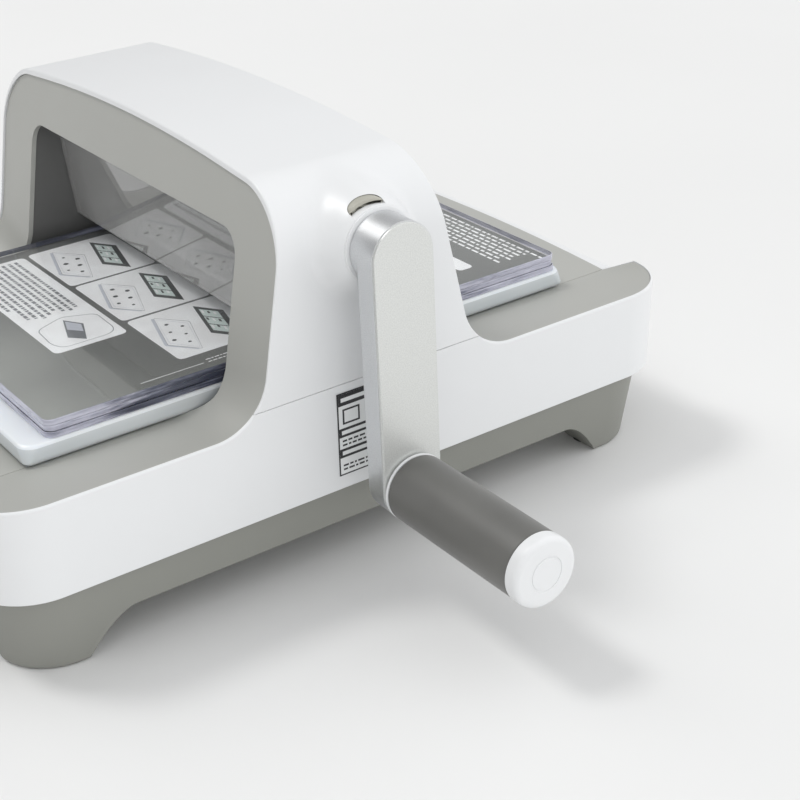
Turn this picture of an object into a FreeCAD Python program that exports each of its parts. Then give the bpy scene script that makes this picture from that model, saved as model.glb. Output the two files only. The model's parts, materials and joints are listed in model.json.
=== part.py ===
import FreeCAD, Part
import math
import os

# Die cutting machine: a hand-cranked roller press for paper craft.
# Millimetres, +Z up, origin on the table at the centre of the four feet.
# +X points to the crank side, +Y is the feed direction, from the front mouth to the rear mouth.
# What exists on both sides is drawn for the crank side, or for the front, and then mirrored.

V = FreeCAD.Vector
X_AXIS = V(1, 0, 0)
Y_AXIS = V(0, 1, 0)
Z_AXIS = V(0, 0, 1)

# ---- general -------------------------------------------------------------------------------
WALL = 3.0                 # moulded wall thickness
NEST = 0.2                 # gap between two mouldings, one inside the other
GAP = 0.3                  # free space between two bodies that pass each other
RUN = 0.05                 # radial clearance of a journal in its bush
OVER = 1.0                 # how far a cutting shape reaches past what it cuts
FAR = 300.0                # past every surface of the machine

# ---- body: plan and heights ----------------------------------------------------------------
BODY_HALF_W = 155.5        # half width of the white body over its rim
BODY_HALF_L = 205.5        # half length of the white body over its rim
CORNER_R = 36.0            # plan radius of the body's corners
DRAFT = 0.045              # inward slope of the side walls, per millimetre of height
SKIRT_Z = 24.5             # underside of the base between the feet
BAND_Z = 45.7              # lower edge of the white band
BASE_TOP_Z = 55.5          # top edge of the base, hidden inside the band
DECK_Z = 88.9              # flat floor of the tray
RIM_Z = 95.5               # top of the white rim
PART_Z = 104.0             # parting line between the lower shell and the arch cover
SHOULDER_Z = 168.8         # where the side of the arch starts to round over
TOP_Z = 211.4              # crown of the arch
CROWN_POINTS = 4           # steps from the crown to each shoulder

# ---- arch: its face leans back and meets the rim in a fillet -------------------------------
FACE_Y = 47.8              # half length of the arch at SHOULDER_Z
FACE_SLOPE = 0.2           # how fast the face moves outward as it goes down
ARCH_FILLET_R = 30.0
SHOULDER_R = 37.1
SHOULDER_SWEEP = 86.0      # degrees of the shoulder's round before the crown takes over
ARCH_REACH = 110.0         # the arch and its fillets end within this distance of the middle

# ---- mouth, tray and bezel -----------------------------------------------------------------
MOUTH_HALF_W = 115.0
MOUTH_TOP_Z = 177.5
MOUTH_R = 13.0             # corner radius of the mouth
DECK_HALF_W = 108.0        # flat part of the tray
DECK_Y0 = 22.0             # the deck stops here, either side of the lower roller
DECK_Y1 = BODY_HALF_L - WALL - 1.0
DECK_RIB_X = (-72.0, -24.0, 24.0, 72.0)
DECK_RIB_T = 2.4
DECK_RIB_H = 6.0
FLANGE_HALF_W = 142.0      # where the tray's sloping flange reaches the rim
FLANGE_Y0 = 50.0           # inner end of the flanges, under the arch
FLANGE_STEP = 0.4          # the flange stands this far below the rim
RIM_END_Y = 170.0          # the rim dips to the tray's profile past this distance
BEZEL_T = 3.5
BEZEL_INSET = 1.2          # the bezel stands back inside the white edge
BEZEL_FOOT = 4.0           # the bezel reaches this far below the rim
BEZEL_LIP_T = BEZEL_T - 1.0
BEZEL_LIP_Y = (44.0, 75.0)  # the lip that lines the mouth, from inside to outside
FASCIA_HALF_W = BODY_HALF_W - WALL - NEST

# ---- guard and liner -----------------------------------------------------------------------
GUARD_Z0 = 117.0
GUARD_Z1 = 176.0
GUARD_Y = 25.8             # distance of the guard's lower edge from the nip
GUARD_LEAN = 0.09          # the guard moves outward by this much per millimetre of height
GUARD_T = 2.5
LINER_X0 = 116.8
LINER_T = 2.0
LINER_HALF_L = 43.8
LINER_DEPTH = 4.0          # the liner reaches this far below the deck
LINER_TOP_Z = 181.5

# ---- base ----------------------------------------------------------------------------------
BASE_INSET = 4.7           # the base stands this far inside the rim
BASE_DRAFT = 0.11
PAD_T = 1.5                # rubber pad under each foot
PAD_R = 8.0
PAD_PLACES = [(sx * 127.0, y) for sx in (-1, 1) for y in (-170.0, 163.0)]
FOOT_FRONT_Y = (132.0, 158.7)     # inner side of a front foot: at the skirt, and at the floor
FOOT_REAR_Y = (131.0, 148.5)
FOOT_X = (96.0, 118.0)
FOOT_CURVE = 1.8           # how late the curve from the skirt down to the floor turns

# ---- fasteners of the shell and the frame --------------------------------------------------
SHELL_POSTS = [(sx * 139.0, y) for sx in (-1, 1) for y in (-100.0, -48.0, 48.0, 100.0)]
POST_R = 5.0
POST_WEB_T = 3.0
SCREW_R = 2.0
SCREW_L = 16.0
SCREW_HEAD_R = 4.0
SCREW_HEAD_T = 2.4
SCREW_SLOT_L = 5.0
SCREW_SLOT_T = 1.0
FRAME_SCREWS = [(sx * 113.0, y) for sx in (-1, 1) for y in (-30.0, 0.0, 30.0)]
FRAME_SCREW_R = 2.5
FRAME_HEAD_R = 4.5
FRAME_HEAD_T = 3.0
SOCKET_R = 2.0

# ---- plate stack ---------------------------------------------------------------------------
PLATFORM_HALF_W = 109.5
PLATFORM_HALF_L = 161.7
PLATFORM_Y = -0.8          # where the platform stands at rest
PLATFORM_T = 10.6
STACK_HALF_W = 107.5
STACK_HALF_L = 153.2
STACK_Y = 4.2              # where the stack stands at rest
STACK_R = 5.0              # plan corner radius of the plates
PAD_PLATE_T = 3.0
CARD_T = 0.3

# ---- rollers and gears ---------------------------------------------------------------------
ROLLER_R = 19.0
ROLLER_HALF_W = 115.0
ROLLER_STEP = 3.0          # length of the shoulder between the drum and the journal
JOURNAL_R = 8.0
JOURNAL_END = 3.0          # journal past the gear, for the retaining ring
GEAR_T = 12.0
GEAR_X = 129.0             # inner face of every gear, on either side
GEAR_X1 = GEAR_X + GEAR_T
GEAR_HUB = 4.0             # hub wall round the bore
PRESSURE_DEG = 20.0
ADDENDUM = 0.85            # in modules: stub teeth
DEDENDUM = 1.1
FLANK_POINTS = 6
DRIVE_MODULE = 1.5
PINION_TEETH = 18
DRIVE_TEETH = 44
SYNC_TEETH = 26
BACKLASH = 0.16
CLIP_T = 1.2
CLIP_W = 3.0

# ---- crank ---------------------------------------------------------------------------------
SHAFT_R = 7.0
SHAFT_X1 = 170.0           # the shaft's round part ends inside the hub
SQUARE = 9.0               # across the flats of the shaft's square end
SQUARE_X0 = 169.0
SQUARE_X1 = 183.0
CRANK_LENGTH = 118.3       # crank axis to handle axis
CRANK_LEAN = -0.4          # degrees the hanging crank leans towards the front
ARM_R = 17.0
ARM_X0 = 175.0
ARM_X1 = 187.0
HUB_X0 = 169.3
NECK_X0 = 160.0            # the hub's neck reaches into the flare
NECK_R = 12.0
FACE_T = 1.2               # inlay over the arm
HUB_SCREW_R = 6.3
SPINDLE_R = 5.0
GRIP_R = 17.4
GRIP_CORE_R = 13.5
GRIP_X0 = 191.1
GRIP_X1 = 280.0
CAP_X1 = 288.0
CAP_ROUND = 3.0
RING_T = 1.6
CAP_SCREW_R = 7.5
COLLAR_X = (168.0, 169.0)
COLLAR_R = 18.9

# ---- flare round the crank, and its release button -----------------------------------------
FLARE_X = 168.0
FLARE_R = 19.0
FLARE_SWEEP = 12.0         # radius of the flare's concave curve
FLARE_ROOTS = ((150.0, 26.0), (134.0, 29.0))     # x and radius where the flare joins the wall
BOSS_BORE_R = 14.0
BUTTON_R0 = 20.3
BUTTON_R1 = 24.0
BUTTON_HALF_DEG = 27.0
BUTTON_X0 = 149.5
BUTTON_X1 = 161.5
BUTTON_LUG_R = 15.8        # the lug's inner radius, clear of the spring's shelf all the way in
BUTTON_ROUND = 0.8
BUTTON_ROOM = 0.35

# ---- steel frame ---------------------------------------------------------------------------
FRAME_X0 = 121.0
FRAME_T = 4.0
FRAME_X1 = FRAME_X0 + FRAME_T
FRAME_HALF_L = 40.0
FRAME_TAPER = 6.0
FRAME_TAPER_Z = 153.5
FRAME_TOP_Z = 185.5
FRAME_FOOT_W = 16.0
BUSH_R = 12.0
BUSH_FLANGE = 3.0
BUSH_FLANGE_T = 2.0
OUTER_X0 = 146.0
OUTER_X1 = 149.0
OUTER_OUTLINE = ((-38, 81.5), (38, 81.5), (38, 166), (28, 183.2), (-28, 183.2), (-38, 166))
SPACER_PLACES = ((-32.0, 167.0), (32.0, 167.0), (-33.0, 87.5), (33.0, 87.5))
SPACER_R = 5.0
TIE_R = 4.0
TIE_PLACES = ((-18.0, 163.5), (18.0, 163.5), (-30.0, 45.5), (30.0, 45.5))
TIE_END = 3.0
NUT_ACROSS = 11.0
SPRING_X0 = 143.0
SPRING_RISE = 17.8         # spring's axis above the crank's
SPRING_R = 2.2
SPRING_WIRE_R = 0.35
SPRING_TURNS = 5
SPRING_SHELF = 8.0         # width of the shelf and the seat that hold the spring
SPRING_SEAT_T = 2.0

# ---- label ---------------------------------------------------------------------------------
LABEL_Y = (-21.0, 9.0)
LABEL_Z = (53.5, 99.5)
LABEL_LIFT = 0.02
LABEL_T = 0.2

# ---- worked out from the driving dimensions ------------------------------------------------
FLOOR_TOP_Z = SKIRT_Z + WALL
PLATFORM_Z0 = DECK_Z + GAP
PLATFORM_Z1 = PLATFORM_Z0 + PLATFORM_T
STACK_TOP_Z = PLATFORM_Z1 + 3 * PAD_PLATE_T + CARD_T
LOWER_Z = PLATFORM_Z0 - GAP - ROLLER_R
UPPER_Z = STACK_TOP_Z + GAP + ROLLER_R
CRANK_Z = UPPER_Z + DRIVE_MODULE * (PINION_TEETH + DRIVE_TEETH) / 2
SYNC_MODULE = (UPPER_Z - LOWER_Z) / SYNC_TEETH
HANDLE_Z = CRANK_Z - CRANK_LENGTH
FILLET_Y = FACE_Y + FACE_SLOPE * (SHOULDER_Z - RIM_Z)
SPRING_Z = CRANK_Z + SPRING_RISE


# ---- helpers -------------------------------------------------------------------------------
def box(x0, x1, y0, y1, z0, z1):
    return Part.makeBox(x1 - x0, y1 - y0, z1 - z0, V(x0, y0, z0))


def slab(z0, z1, reach=FAR):
    """Everything between two heights, within reach of the middle along the feed."""
    return box(-FAR, FAR, -reach, reach, z0, z1)


def rod_x(x0, x1, r, y=0.0, z=0.0):
    return Part.makeCylinder(r, x1 - x0, V(x0, y, z), X_AXIS)


def tube_x(x0, x1, r_out, r_in, y=0.0, z=0.0):
    return rod_x(x0, x1, r_out, y, z).cut(rod_x(x0 - OVER, x1 + OVER, r_in, y, z))


def rod_z(z0, z1, r, x, y):
    return Part.makeCylinder(r, z1 - z0, V(x, y, z0), Z_AXIS)


def face_of(points):
    return Part.Face(Part.makePolygon(points + [points[0]]))


def prism_yz(points, x0, x1):
    """A flat outline of (y, z) points, extruded along X."""
    return face_of([V(x0, y, z) for y, z in points]).extrude(V(x1 - x0, 0, 0))


def prism_xz(points, y0, y1):
    """A flat outline of (x, z) points, extruded along Y."""
    return face_of([V(x, y0, z) for x, z in points]).extrude(V(0, y1 - y0, 0))


def both_sides(half):
    """A symmetric outline: half of it, then its mirror image in reverse order."""
    return half + [(-a, b) for a, b in reversed(half)]


def mirror_y(shape):
    return shape.mirror(V(0, 0, 0), Y_AXIS)


def mirror_x(shape):
    return shape.mirror(V(0, 0, 0), X_AXIS)


def arc_points(ca, cb, r, start, end, steps):
    """Points along an arc round (ca, cb), in degrees, both ends included."""
    angles = [math.radians(start + (end - start) * i / steps) for i in range(steps + 1)]
    return [(ca + r * math.cos(a), cb + r * math.sin(a)) for a in angles]


def rounded_rect(hw, hl, r, z, cy=0.0):
    """A closed wire: a rectangle with true arcs for corners, in the plane at height z."""
    arcs = []
    ends = []
    k = r * math.sqrt(0.5)
    for sx, sy in ((1, 1), (-1, 1), (-1, -1), (1, -1)):
        centre = V(sx * (hw - r), cy + sy * (hl - r), z)
        on_x = centre + V(sx * r, 0, 0)
        on_y = centre + V(0, sy * r, 0)
        start, end = (on_x, on_y) if sx * sy > 0 else (on_y, on_x)
        arcs.append(Part.Arc(start, centre + V(sx * k, sy * k, 0), end).toShape())
        ends.append((start, end))
    sides = [Part.makeLine(ends[i][1], ends[(i + 1) % 4][0]) for i in range(4)]
    ring = [edge for pair in zip(arcs, sides) for edge in pair]
    return Part.Wire(ring)


def drafted_block(sections):
    """A solid through rounded rectangles given as (half width, half length, radius, height)."""
    return Part.makeLoft([rounded_rect(*s) for s in sections], True, True)


def stadium(x0, x1, r, z_top, z_bottom):
    """A bar with round ends in the YZ plane, between two centre heights."""
    straight = box(x0, x1, -r, r, z_bottom, z_top)
    return straight.fuse([rod_x(x0, x1, r, 0, z_top), rod_x(x0, x1, r, 0, z_bottom)]).removeSplitter()


def round_edges(shape, radius, wanted):
    """Fillets the edges that the test function accepts."""
    edges = [e for e in shape.Edges if wanted(e)]
    return shape.makeFillet(radius, edges) if edges else shape


def save(name, shape):
    solids = shape.Solids
    volume = sum(s.Volume for s in solids) / 1000
    print(f"{name:20s} solids {len(solids)}  volume {volume:8.2f} cm3  valid {shape.isValid()}")
    out = solids[0] if len(solids) == 1 else Part.makeCompound(solids)
    out.exportStep(f"parts/{name}.step")


# ---- white outer form ----------------------------------------------------------------------
def plan_block(z0, z1, inset=0.0, draft=DRAFT, z_full=RIM_Z):
    """The body's plan with drafted walls between two heights; it has its full size at z_full."""
    sections = []
    for z in (z0, z1):
        shrink = inset + draft * max(z_full - z, 0)
        sections.append((BODY_HALF_W - shrink, BODY_HALF_L - shrink, CORNER_R - shrink, z))
    return drafted_block(sections)


def arch_outline(inset):
    """Side profile of the arch as (y, z) points, moved inwards by inset."""
    lean = math.atan(FACE_SLOPE)
    tangent = ARCH_FILLET_R * math.tan((math.pi / 2 - lean) / 2)
    cy, cz = FILLET_Y + tangent, RIM_Z + ARCH_FILLET_R
    top_z = TOP_Z + WALL
    foot = [(cy, BAND_Z)]
    fillet = arc_points(cy, cz, ARCH_FILLET_R + inset, 270, 180 + math.degrees(lean), 10)
    top = [(FACE_Y - FACE_SLOPE * (top_z - SHOULDER_Z) - inset, top_z)]
    return both_sides(foot + fillet + top)


def front_outline(inset):
    """Front profile of the arch as (x, z) points: sides, round shoulders and a crowned top."""
    cx = BODY_HALF_W - SHOULDER_R
    crown_foot = SHOULDER_Z + SHOULDER_R
    half = [(BODY_HALF_W - inset, SKIRT_Z)]
    half += arc_points(cx, SHOULDER_Z, SHOULDER_R - inset, 0, SHOULDER_SWEEP, 10)
    for i in range(CROWN_POINTS - 1, 0, -1):
        out = i / CROWN_POINTS
        half.append((cx * out, crown_foot - inset + (TOP_Z - crown_foot) * (1 - out ** 2)))
    return half + [(0, TOP_Z - inset)] + both_sides(half)[len(half):]


def boss(inset):
    """Flare round the crank pivot, a body of revolution about the crank's axis."""
    curve = arc_points(FLARE_X, FLARE_R + FLARE_SWEEP, FLARE_SWEEP + inset, 270, 216, 6)
    curve += [(x, r - inset) for x, r in FLARE_ROOTS]
    rim = [V(x, 0, CRANK_Z + r) for x, r in curve]
    axis = [V(rim[-1].x, 0, CRANK_Z), V(rim[0].x, 0, CRANK_Z)]
    return face_of(rim + axis).revolve(V(0, 0, CRANK_Z), X_AXIS, 360)


def crescent(x0, x1, r0, r1, half_deg):
    """A piece of tube, concentric with the crank, centred straight above it."""
    reach = 2 * r1 + OVER
    half_w = reach * math.tan(math.radians(half_deg))
    wedge = [(0, CRANK_Z), (half_w, CRANK_Z + reach), (-half_w, CRANK_Z + reach)]
    return tube_x(x0, x1, r1, r0, 0, CRANK_Z).common(prism_yz(wedge, x0 - OVER, x1 + OVER))


def button_slot():
    """The crescent in the flare that the release button moves in."""
    r0, r1 = BUTTON_R0 - BUTTON_ROOM, BUTTON_R1 + BUTTON_ROOM
    return crescent(NECK_X0 - 20, FLARE_X, r0, r1, BUTTON_HALF_DEG + 1)


def white_skin():
    """Band, rim and arch in one, with walls of even thickness and both mouths open."""
    band = plan_block(BAND_Z, RIM_Z)
    arch = prism_yz(arch_outline(0), -BODY_HALF_W, BODY_HALF_W)
    arch = arch.common(prism_xz(front_outline(0), -ARCH_REACH, ARCH_REACH))
    arch = arch.common(band.fuse(slab(RIM_Z, FAR, ARCH_REACH)))
    outer = band.fuse(arch).fuse(boss(0))

    room = plan_block(BAND_Z - OVER, RIM_Z, WALL).fuse(plan_block(RIM_Z - OVER, RIM_Z + OVER, WALL))
    room = room.fuse(slab(RIM_Z - OVER, FAR, ARCH_REACH))
    hollow = prism_xz(front_outline(WALL), -BODY_HALF_L, BODY_HALF_L).common(room)
    skin = outer.cut(hollow).cut(boss(WALL).common(box(0, FLARE_X - WALL, -FAR, FAR, 0, FAR)))
    skin = skin.cut(rod_x(ROLLER_HALF_W, FLARE_X + OVER, BOSS_BORE_R, 0, CRANK_Z)).cut(button_slot())

    above = RIM_Z + OVER
    dip = both_sides([(FLANGE_HALF_W, above), (FLANGE_HALF_W, RIM_Z), (DECK_HALF_W, DECK_Z)])
    ends = prism_xz(dip, RIM_END_Y, FAR)
    return skin.cut(ends).cut(mirror_y(ends))


def lower_shell(skin):
    """White band and rim up to the parting line, with screw posts on the side walls."""
    low = skin.common(slab(0, PART_Z - GAP / 2))
    post_top = DECK_Z - WALL - SCREW_HEAD_R
    inside = plan_block(BASE_TOP_Z, RIM_Z, WALL / 2)
    for x, y in SHELL_POSTS:
        wall_x = math.copysign(BODY_HALF_W, x)
        half_t = POST_WEB_T / 2
        web = box(min(x, wall_x), max(x, wall_x), y - half_t, y + half_t, BASE_TOP_Z + OVER, post_top)
        low = low.fuse(rod_z(FLOOR_TOP_Z, post_top, POST_R, x, y).fuse(web.common(inside)))
    for x, y in SHELL_POSTS:
        low = low.cut(rod_z(FLOOR_TOP_Z - OVER, FLOOR_TOP_Z + SCREW_L, SCREW_R, x, y))
    return low.removeSplitter()


def arch_cover(skin):
    """White saddle over both sides and the top of the arch."""
    return skin.common(slab(PART_Z + GAP / 2, FAR)).removeSplitter()


def label_plate():
    """Blank rating label on the side wall below the pivot, following the wall's draft."""
    z0, z1 = LABEL_Z
    face = [(BODY_HALF_W - DRAFT * (RIM_Z - z0), z0), (BODY_HALF_W, RIM_Z), (BODY_HALF_W, z1)]
    under = [(x + LABEL_LIFT, z) for x, z in face]
    over = [(x + LABEL_LIFT + LABEL_T, z) for x, z in reversed(face)]
    return prism_xz(under + over, *LABEL_Y)


# ---- grey base -----------------------------------------------------------------------------
def foot_curve(inner, outer, lift):
    """Half outline of the arch between two feet: straight, then a curve down to the floor."""
    pts = []
    for i in range(7):
        t = i / 6
        drop = (SKIRT_Z - PAD_T) * t ** FOOT_CURVE
        pts.append((inner + lift + (outer - inner) * t, SKIRT_Z + lift - drop))
    return pts


def between_feet(lift):
    """The space under the machine, lengthwise and crosswise, grown by lift for the inner side."""
    front = foot_curve(*FOOT_FRONT_Y, lift)
    rear = foot_curve(*FOOT_REAR_Y, lift)
    ends = foot_curve(*FOOT_X, lift)
    side = [(-y, z) for y, z in reversed(front)] + rear
    side += [(rear[-1][0], -FAR), (-front[-1][0], -FAR)]
    end = both_sides([(ends[-1][0], -FAR)] + list(reversed(ends)))
    return prism_yz(side, -FAR, FAR).fuse(prism_xz(end, -FAR, FAR))


def base_tray():
    """One moulded tub: skirt, floor and four hollow feet."""
    outer = plan_block(PAD_T, BAND_Z, BASE_INSET, BASE_DRAFT, BAND_Z)
    outer = outer.fuse(plan_block(BAND_Z, BASE_TOP_Z, WALL + NEST))
    inner = plan_block(PAD_T + WALL, BAND_Z, BASE_INSET + WALL, BASE_DRAFT, BAND_Z)
    inner = inner.fuse(plan_block(BAND_Z - OVER, BASE_TOP_Z + OVER, 2 * WALL + NEST))
    tub = outer.cut(between_feet(0)).cut(inner.cut(between_feet(WALL)))
    for x, y in SHELL_POSTS:
        tub = tub.cut(rod_z(SKIRT_Z - OVER, FLOOR_TOP_Z + OVER, SCREW_R + NEST, x, y))
    for x, y in FRAME_SCREWS:
        tub = tub.cut(rod_z(SKIRT_Z - OVER, FLOOR_TOP_Z + OVER, FRAME_SCREW_R, x, y))
    return tub.removeSplitter()


def foot_pads():
    return Part.makeCompound([rod_z(0, PAD_T, PAD_R, x, y) for x, y in PAD_PLACES])


def base_screws():
    """Pan-head screws from below, through the base into the lower shell's posts."""
    screws = []
    slot_z = (SKIRT_Z - SCREW_HEAD_T - OVER, SKIRT_Z - SCREW_HEAD_T / 2)
    half_l, half_t = SCREW_SLOT_L / 2, SCREW_SLOT_T / 2
    for x, y in SHELL_POSTS:
        head = rod_z(SKIRT_Z - SCREW_HEAD_T, SKIRT_Z, SCREW_HEAD_R, x, y)
        for hx, hy in ((half_l, half_t), (half_t, half_l)):
            head = head.cut(box(x - hx, x + hx, y - hy, y + hy, *slot_z))
        screws.append(head.fuse(rod_z(SKIRT_Z, SKIRT_Z + SCREW_L, SCREW_R, x, y)))
    return Part.makeCompound(screws)


# ---- grey trays and bezels -----------------------------------------------------------------
def mouth_outline(grow, bottom):
    hw = MOUTH_HALF_W + grow
    r = MOUTH_R + grow
    return both_sides([(hw, bottom)] + arc_points(hw - r, MOUTH_TOP_Z - MOUTH_R, r, 0, 90, 8))


def fascia():
    """Front bezel round the mouth, the lip that lines it, and the tray's two sloping flanges."""
    foot_z = RIM_Z - BEZEL_FOOT
    solid = prism_yz(arch_outline(BEZEL_INSET), -FASCIA_HALF_W, FASCIA_HALF_W)
    core = prism_yz(arch_outline(BEZEL_INSET + BEZEL_T), -FAR, FAR)
    shell = solid.cut(core).common(prism_xz(front_outline(WALL + NEST), -ARCH_REACH, 0))
    shell = shell.common(box(-FAR, FAR, -ARCH_REACH, -DECK_Y0, foot_z, FAR))
    mouth = prism_xz(mouth_outline(0, DECK_Z - WALL), -ARCH_REACH, 0)
    lip_y0, lip_y1 = BEZEL_LIP_Y
    lip = prism_xz(mouth_outline(BEZEL_LIP_T, DECK_Z), -lip_y1, -lip_y0).cut(mouth)
    lip = lip.common(solid).common(slab(RIM_Z, FAR))

    top_z = RIM_Z - FLANGE_STEP
    top = [(DECK_HALF_W, DECK_Z), (FLANGE_HALF_W, top_z), (FASCIA_HALF_W, top_z)]
    under = [(x, z - WALL) for x, z in reversed(top)]
    flange = prism_xz(top + under, -BODY_HALF_L + WALL, -FLANGE_Y0)
    flange = flange.common(plan_block(DECK_Z - 2 * WALL, RIM_Z, WALL + NEST))
    return shell.cut(mouth).fuse([lip, flange, mirror_x(flange)]).removeSplitter()


def deck_bed():
    """Flat insert that the platform slides on, from the tray's end to the lower roller."""
    under_z = DECK_Z - WALL
    bed = box(-DECK_HALF_W, DECK_HALF_W, -DECK_Y1, -DECK_Y0, under_z, DECK_Z)
    y0, y1 = -DECK_Y1 + 4 * WALL, -DECK_Y0 - WALL - OVER
    half_t = DECK_RIB_T / 2
    for x in DECK_RIB_X:
        bed = bed.fuse(box(x - half_t, x + half_t, y0, y1, under_z - DECK_RIB_H, under_z))
    return bed.removeSplitter()


def guard():
    """Clear panel that hangs in the front mouth, over the plates."""
    y_top = GUARD_Y + GUARD_LEAN * (GUARD_Z1 - GUARD_Z0)
    outside = [(-GUARD_Y, GUARD_Z0), (-y_top, GUARD_Z1)]
    inside = [(y + GUARD_T, z) for y, z in reversed(outside)]
    return prism_yz(outside + inside, -LINER_X0, LINER_X0)


def liner():
    """Dark side wall of the passage, crank side, with holes for both journals and the tie rods."""
    x0, x1 = LINER_X0, LINER_X0 + LINER_T
    wall = box(x0, x1, -LINER_HALF_L, LINER_HALF_L, DECK_Z - LINER_DEPTH, LINER_TOP_Z)
    for z in (UPPER_Z, LOWER_Z):
        wall = wall.cut(rod_x(x0 - OVER, x1 + OVER, JOURNAL_R + 4, 0, z))
    for y, z in TIE_PLACES:
        wall = wall.cut(rod_x(x0 - OVER, x1 + OVER, TIE_R + 0.5, y, z))
    ends = (SHOULDER_Z - 10, LINER_TOP_Z + OVER)
    back = FACE_Y - BEZEL_INSET - BEZEL_T - 2 * NEST
    low, high = [(back + FACE_SLOPE * (SHOULDER_Z - z), z) for z in ends]
    beyond = [(LINER_HALF_L + 20, high[1]), (LINER_HALF_L + 20, low[1])]
    lean = prism_yz([low, high] + beyond, x0 - OVER, x1 + OVER)
    return wall.cut(lean).cut(mirror_y(lean))


# ---- steel frame ---------------------------------------------------------------------------
def side_frame(with_crank):
    """Steel plate, crank side, that carries the rollers; its foot is bent inwards."""
    x0, x1 = FRAME_X0, FRAME_X1
    top = FRAME_HALF_L - FRAME_TAPER
    half = [(FRAME_HALF_L, FLOOR_TOP_Z), (FRAME_HALF_L, FRAME_TAPER_Z), (top, FRAME_TOP_Z)]
    foot_top = FLOOR_TOP_Z + FRAME_T
    foot = box(x0 - FRAME_FOOT_W, x0, -FRAME_HALF_L, FRAME_HALF_L, FLOOR_TOP_Z, foot_top)
    frame = prism_yz(both_sides(half), x0, x1).fuse(foot)
    heights = (UPPER_Z, LOWER_Z, CRANK_Z) if with_crank else (UPPER_Z, LOWER_Z)
    for z in heights:
        frame = frame.cut(rod_x(x0 - OVER, x1 + OVER, BUSH_R, 0, z))
    for y, z in TIE_PLACES:
        frame = frame.cut(rod_x(x0 - OVER, x1 + OVER, TIE_R, y, z))
    for x, y in FRAME_SCREWS:
        frame = frame.cut(rod_z(FLOOR_TOP_Z - OVER, foot_top + OVER, FRAME_SCREW_R, x, y))
    return frame.removeSplitter()


def outer_plate():
    """Steel plate outside the drive gears, with the outer crank bearing and the spring's seat."""
    x0 = SPRING_X0 - SPRING_SEAT_T
    half = SPRING_SHELF / 2
    shelf_top = SPRING_Z - SPRING_R - 2 * SPRING_WIRE_R - NEST
    shelf_bottom = FRAME_TOP_Z + OVER
    shelf = box(x0, OUTER_X1, -half, half, shelf_bottom, shelf_top)
    seat = box(x0, SPRING_X0, -half, half, shelf_bottom, SPRING_Z + SPRING_R + 2 * SPRING_WIRE_R)
    bearing = rod_x(OUTER_X0, OUTER_X1, BOSS_BORE_R - GAP, 0, CRANK_Z)
    plate_body = prism_yz(list(OUTER_OUTLINE), OUTER_X0, OUTER_X1).fuse([bearing, shelf, seat])
    return plate_body.cut(rod_x(x0 - OVER, OUTER_X1 + OVER, BUSH_R, 0, CRANK_Z)).removeSplitter()


def frame_spacers():
    return Part.makeCompound([rod_x(FRAME_X1, OUTER_X0, SPACER_R, y, z) for y, z in SPACER_PLACES])


def tie_rods():
    half = FRAME_X1 + TIE_END
    return Part.makeCompound([rod_x(-half, half, TIE_R, y, z) for y, z in TIE_PLACES])


def tie_nuts():
    """A hexagon nut on each end of each tie rod."""
    nuts = []
    r = NUT_ACROSS / math.sqrt(3)
    for y, z in TIE_PLACES:
        hexagon = arc_points(y, z, r, 0, 300, 5)
        nut = prism_yz(hexagon, FRAME_X1, FRAME_X1 + TIE_END)
        nut = nut.cut(rod_x(FRAME_X1 - OVER, FRAME_X1 + TIE_END + OVER, TIE_R, y, z))
        nuts += [nut, mirror_x(nut)]
    return Part.makeCompound(nuts)


def frame_screws():
    """Cap screws through the bent feet of the side frames into the base."""
    screws = []
    z = FLOOR_TOP_Z + FRAME_T
    for x, y in FRAME_SCREWS:
        head = rod_z(z, z + FRAME_HEAD_T, FRAME_HEAD_R, x, y)
        head = head.cut(rod_z(z + FRAME_HEAD_T / 3, z + FRAME_HEAD_T + OVER, SOCKET_R, x, y))
        screws.append(head.fuse(rod_z(SKIRT_Z, z, FRAME_SCREW_R, x, y)))
    return Part.makeCompound(screws)


def bush(x0, x1, bore, z, flange_inside=True):
    """Flanged bronze bush in a plate from x0 to x1."""
    flange_x = x0 - BUSH_FLANGE_T if flange_inside else x1
    flange = rod_x(flange_x, flange_x + BUSH_FLANGE_T, BUSH_R + BUSH_FLANGE, 0, z)
    whole = rod_x(x0, x1, BUSH_R, 0, z).fuse(flange)
    ends = BUSH_FLANGE_T + OVER
    return whole.cut(rod_x(x0 - ends, x1 + ends, bore, 0, z)).removeSplitter()


# ---- gears and rollers ---------------------------------------------------------------------
def involute_angle(base_r, r):
    """Polar angle of the involute at radius r, from where it leaves the base circle."""
    t = math.sqrt(max((r / base_r) ** 2 - 1, 0))
    return t - math.atan(t)


def tooth_outline(module, teeth):
    """One tooth as (radius, angle) points about its centre line, rising and then falling."""
    pitch_r = module * teeth / 2
    base_r = pitch_r * math.cos(math.radians(PRESSURE_DEG))
    tip_r = pitch_r + ADDENDUM * module
    root_r = pitch_r - DEDENDUM * module
    half_tooth = (math.pi * module / 2 - BACKLASH) / 2 / pitch_r
    start_r = max(base_r, root_r + 0.1)
    falling = []
    for i in range(FLANK_POINTS - 1, -1, -1):
        r = start_r + (tip_r - start_r) * i / (FLANK_POINTS - 1)
        falling.append((r, half_tooth + involute_angle(base_r, pitch_r) - involute_angle(base_r, r)))
    falling.append((root_r, falling[-1][1]))
    return [(r, -a) for r, a in reversed(falling)] + falling


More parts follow.
